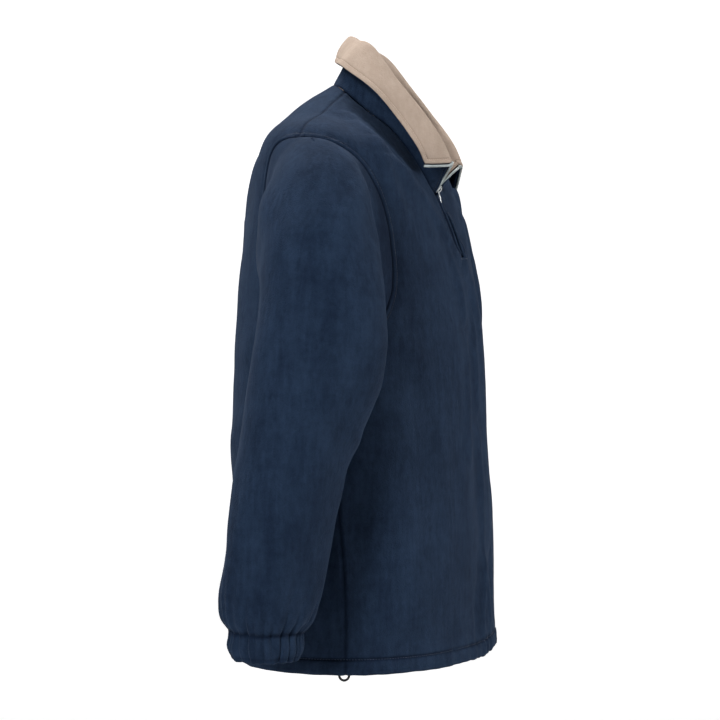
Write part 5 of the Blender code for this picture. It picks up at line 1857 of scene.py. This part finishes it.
def make_hem_cord(side):
    """One loop of elastic cord, both of whose ends go up into the hem's casing."""
    name = SIDE_NAMES[side]
    route = cord_route(side)
    curve = bpy.data.curves.new(f"{name}_hem_cord", "CURVE")
    curve.dimensions = "3D"
    curve.bevel_depth = CORD_DIAMETER / 2
    curve.bevel_resolution = bpy.context.scene.pullover_trim.cord_sides
    curve.use_fill_caps = True
    spline = curve.splines.new("POLY")
    spline.points.add(len(route) - 1)
    for point, place in zip(spline.points, route):
        point.co = (*map(float, place), 1.0)
    curve.materials.append(finish_of("cord_braid"))
    cord = dress(new_object(curve.name, curve), (f"hem_cord_{name}",))


# ---- stitching

def stitch(length, thickness):
    """One stitch of thread: a bar along y that dives into the cloth at both ends."""
    steps = np.array([-0.5, -0.42, -0.25, 0.0, 0.25, 0.42, 0.5])
    dive = thickness * (0.25 - 1.1 * (2 * np.abs(steps)) ** 3)
    return tube(np.column_stack([np.zeros(7), steps * length, dive]), thickness / 2, 6)


def sewn(name, lines, finish, slot):
    """Rows of stitches along lines of (points, outward normals), as one piece."""
    settings = bpy.context.scene.pullover_cloth
    solids = []
    one = stitch(settings.stitch_length * STITCH_SHARE, settings.thread)
    for points, normals in lines:
        at = evenly(points, settings.stitch_length, settings.stitch_length / 2)
        runs = read_line(points, at + 0.4) - read_line(points, at - 0.4)
        for place, run, out in zip(read_line(points, at), runs, read_line(normals, at)):
            run = unit(run)
            out = unit(out - run * (out @ run))
            solids.append(placed(one, place, (np.cross(run, out), run, out)))
    return dress(smooth_object(name, *gathered(solids), finish_of(finish)))


def on_torso(side, across, up):
    """Points on the visible face of the torso, with their normals."""
    places = torso(side)(across, up)
    out = torso_out(side, across, up)
    lift, _ = torso_relief(side, across, up, places)
    return places + out * (lift[:, None] + STITCHES_PROUD), out


def hem_line(side):
    across = np.linspace(0.0, 2.0, 420)
    return on_torso(side, across, np.full(len(across), HEM_STITCH))


def armhole_stitch_line(side):
    """Round the armhole on the body, at the sewn distance."""
    turn = np.linspace(0, 2 * pi, 361)
    half = ARMHOLE_HALF + ARMHOLE_STITCH
    up = ARMHOLE_MIDDLE + half * np.cos(turn)
    inside = np.clip(np.abs(up - ARMHOLE_MIDDLE) / half, 0, 1)
    bow = (1 - inside ** ARMHOLE["power"]) ** (1 / ARMHOLE["power"])
    wider = ARMHOLE_STITCH / QUARTER_GIRTH
    front = 1 - (ARMHOLE["front_reach"] + wider) * bow
    back = 1 + (ARMHOLE["back_reach"] + wider) * bow
    return on_torso(side, np.where(np.sin(turn) > 0, front, back), up)


def zip_stitch_lines():
    """Down both sides of the slit, and across below its foot."""
    low = ZIP_FOOT - ZIP_STITCHES_BELOW
    half = SLIT_HALF_WIDTH + ZIP_STITCH
    up = np.linspace(low, NECK_LEVEL - 0.003, 120)
    lines = [on_torso(side, beside_zip(half, up), up) for side in SIDES]
    foot = np.linspace(-half, half, 21)
    level = np.full(len(foot), low)
    right, left = (on_torso(side, beside_zip(np.abs(foot), level), level) for side in SIDES)
    on_left = (foot > 0)[:, None]
    lines.append(tuple(np.where(on_left, part[1], part[0]) for part in zip(right, left)))
    return lines


def make_stitching():
    navy, beige = ("navy_thread", "navy_fleece"), ("beige_thread", "beige_fleece")
    sewn("hem_stitches", [hem_line(side) for side in SIDES], *navy)
    sewn("armhole_stitches", [armhole_stitch_line(side) for side in SIDES], *navy)
    sewn("zip_stitches", zip_stitch_lines(), *navy)
    sewn("facing_stitches", [collar_stitch_line(side, True) for side in SIDES], *beige)
    sewn("shell_stitches", [collar_stitch_line(side, False) for side in SIDES], *navy)


def collar_stitch_line(side, inner):
    """Down the collar's front edge and round its outer edge, at the sewn distance."""
    patch = collar_layer(side, inner)
    rows, columns = patch.points.shape[:2]
    lift = patch.values[0]
    surface = patch.points + patch.normals * (lift[..., None] + STITCHES_PROUD)

    def inside(line, outs):
        """The place and the normal a stitch's distance in along a line."""
        at = np.interp([COLLAR_STITCH], running_length(line), np.arange(len(line)))
        return read_line(line, at)[0], read_line(outs, at)[0]

    start = int(np.searchsorted(collar_rows(), COLLAR_STITCHES_START))
    front, front_out = map(np.array, zip(*(
        inside(surface[row], patch.normals[row]) for row in range(start, rows))))
    edge, edge_out = map(np.array, zip(*(
        inside(surface[::-1, k], patch.normals[::-1, k]) for k in range(columns))))
    by_corner = np.linalg.norm(front[:, None] - edge[None, :NEAR_CORNER_COLUMNS], axis=2)
    corner_row, corner_column = np.unravel_index(np.argmin(by_corner), by_corner.shape)
    return (np.concatenate([front[:corner_row], edge[corner_column:]]),
            np.concatenate([front_out[:corner_row], edge_out[corner_column:]]))


# ---- stage

def soft_light(name, place, target, size, watts):
    lamp = bpy.data.lights.new(name, "AREA")
    lamp.shape = "DISK"
    lamp.size = size
    lamp.energy = watts
    light = new_object(name, lamp)
    light.location = place
    light.rotation_euler = (Vector(target) - light.location).to_track_quat("-Z", "Y").to_euler()


def round_floor(drop):
    """A round floor that bends up at its rim into a wall, as (vertices, faces)."""
    low = TORSO_SECTIONS["hem"][0] - drop
    rings = [(FLOOR_RADIUS * 0.5, low), (FLOOR_RADIUS, low)]
    rings += [(FLOOR_RADIUS + FLOOR_BEND * sin(t), low + FLOOR_BEND * (1 - cos(t)))
              for t in np.linspace(0, pi / 2, 12)[1:]]
    rings.append((FLOOR_RADIUS + FLOOR_BEND, low + 3 * FLOOR_BEND))
    count = 64
    around = np.linspace(0, 2 * pi, count, endpoint=False)
    vertices = [(0.0, 0.0, low)]
    for radius, height in rings:
        vertices += [(radius * cos(t), radius * sin(t), height) for t in around]
    faces = [(0, 1 + k, 1 + (k + 1) % count) for k in range(count)]
    for start in range(1, 1 + (len(rings) - 1) * count, count):
        for k in range(count):
            after = (k + 1) % count
            faces.append((start + k, start + count + k, start + count + after, start + after))
    return vertices, faces


def make_stage():
    scene = bpy.context.scene
    settings = scene.pullover_stage
    lens = bpy.data.cameras.new("camera")
    lens.lens, lens.sensor_width = settings.focal_length, 36.0
    camera = new_object("camera", lens)
    angle, away = settings.azimuth, settings.distance
    sine, cosine = sin(angle), cos(angle)
    camera.location = (sine * away - cosine * CAMERA_ASIDE,
                       -cosine * away - sine * CAMERA_ASIDE, CAMERA_HEIGHT)
    camera.rotation_euler = (pi / 2, 0.0, angle)
    scene.camera = camera
    scene.view_settings.view_transform = "Standard"

    finish = plain_floor("pale_floor", tuple(settings.floor_colour), angle, settings.backdrop)
    floor = smooth_object("floor", *round_floor(settings.floor_drop), finish, 0)

    world = scene.world or bpy.data.worlds.new("studio")
    scene.world = world
    world.use_nodes = True
    surround = world.node_tree.nodes["Background"]
    surround.inputs["Color"].default_value = (1.0, 1.0, 1.0, 1.0)
    surround.inputs["Strength"].default_value = settings.surround
    for name, (place, size) in LAMPS.items():
        soft_light(name, place, LAMP_TARGET, size, getattr(settings, name))


# ---- operators

class PULLOVER_OT_stage(Operator):
    """Make the camera, the pale floor and the soft lights"""
    bl_idname = "pullover.stage"
    bl_label = "Stage"

    def execute(self, context):
        make_stage()
        return {"FINISHED"}


class PULLOVER_OT_hem_cords(Operator):
    """Make the loops of elastic cord that hang below the hem's casing"""
    bl_idname = "pullover.hem_cords"
    bl_label = "Hem cords"

    def execute(self, context):
        for side in SIDES:
            make_hem_cord(side)
        return {"FINISHED"}


class PULLOVER_OT_front(Operator):
    """Make the front panel, with the zip's slit and its turned-up hem"""
    bl_idname = "pullover.front"
    bl_label = "Front"

    def execute(self, context):
        make_front()
        return {"FINISHED"}


class PULLOVER_OT_back(Operator):
    """Make the back panel with its turned-up hem"""
    bl_idname = "pullover.back"
    bl_label = "Back"

    def execute(self, context):
        make_back()
        return {"FINISHED"}


class PULLOVER_OT_sleeves(Operator):
    """Make both sleeves, from the armhole to the gathers above the cuff"""
    bl_idname = "pullover.sleeves"
    bl_label = "Sleeves"

    def execute(self, context):
        for side in SIDES:
            make_sleeve(side)
        return {"FINISHED"}


class PULLOVER_OT_cuffs(Operator):
    """Make both gathered cuffs with their turned edges"""
    bl_idname = "pullover.cuffs"
    bl_label = "Cuffs"

    def execute(self, context):
        for side in SIDES:
            make_cuff(side)
        return {"FINISHED"}


class PULLOVER_OT_collar(Operator):
    """Make the collar's outer layer and its contrasting facing"""
    bl_idname = "pullover.collar"
    bl_label = "Collar"

    def execute(self, context):
        make_collar()
        return {"FINISHED"}


class PULLOVER_OT_zip_tapes(Operator):
    """Make both woven zip tapes"""
    bl_idname = "pullover.zip_tapes"
    bl_label = "Zip tapes"

    def execute(self, context):
        for side in SIDES:
            make_zip_tape(side)
        return {"FINISHED"}


class PULLOVER_OT_zip_teeth(Operator):
    """Make the zip's moulded teeth, open above the slider and meshed below it"""
    bl_idname = "pullover.zip_teeth"
    bl_label = "Zip teeth"

    def execute(self, context):
        pitch = context.scene.pullover_trim.tooth_pitch
        for side in SIDES:
            make_open_teeth(side, pitch)
        make_closed_teeth(pitch)
        return {"FINISHED"}


class PULLOVER_OT_slider(Operator):
    """Make the slider, its pull tab and the zip's bottom stop"""
    bl_idname = "pullover.slider"
    bl_label = "Slider, pull and stop"

    def execute(self, context):
        make_slider()
        make_pull()
        make_stop()
        return {"FINISHED"}


class PULLOVER_OT_stitching(Operator):
    """Make the rows of stitches on the hem, armholes, zip and collar"""
    bl_idname = "pullover.stitching"
    bl_label = "Stitching"

    def execute(self, context):
        make_stitching()
        return {"FINISHED"}


OPERATORS = (PULLOVER_OT_stage, PULLOVER_OT_hem_cords, PULLOVER_OT_front, PULLOVER_OT_back,
             PULLOVER_OT_sleeves, PULLOVER_OT_cuffs, PULLOVER_OT_collar, PULLOVER_OT_zip_tapes,
             PULLOVER_OT_zip_teeth, PULLOVER_OT_slider, PULLOVER_OT_stitching)


class PULLOVER_PT_pieces(Panel):
    """The pullover's pieces and settings"""
    bl_label = "Zip fleece pullover"
    bl_idname = "PULLOVER_PT_pieces"
    bl_space_type = "VIEW_3D"
    bl_region_type = "UI"
    bl_category = "Pullover"

    def draw(self, context):
        for operator in OPERATORS:
            self.layout.operator(operator.bl_idname)
        for settings in SETTINGS:
            group = getattr(context.scene, settings)
            for name in group.bl_rna.properties.keys():
                if name not in {"rna_type", "name"}:
                    self.layout.prop(group, name)


SETTINGS = {"pullover_cloth": ClothSettings, "pullover_trim": TrimSettings,
            "pullover_stage": StageSettings}
CLASSES = (*SETTINGS.values(), *OPERATORS, PULLOVER_PT_pieces)


def register():
    for cls in CLASSES:
        bpy.utils.register_class(cls)
    for name, settings in SETTINGS.items():
        setattr(bpy.types.Scene, name, PointerProperty(type=settings))


def unregister():
    for name in SETTINGS:
        delattr(bpy.types.Scene, name)
    for cls in reversed(CLASSES):
        bpy.utils.unregister_class(cls)


def main():
    register()
    for operator in OPERATORS:
        getattr(bpy.ops.pullover, operator.bl_idname.split(".")[1])()


if __name__ == "__main__":
    main()
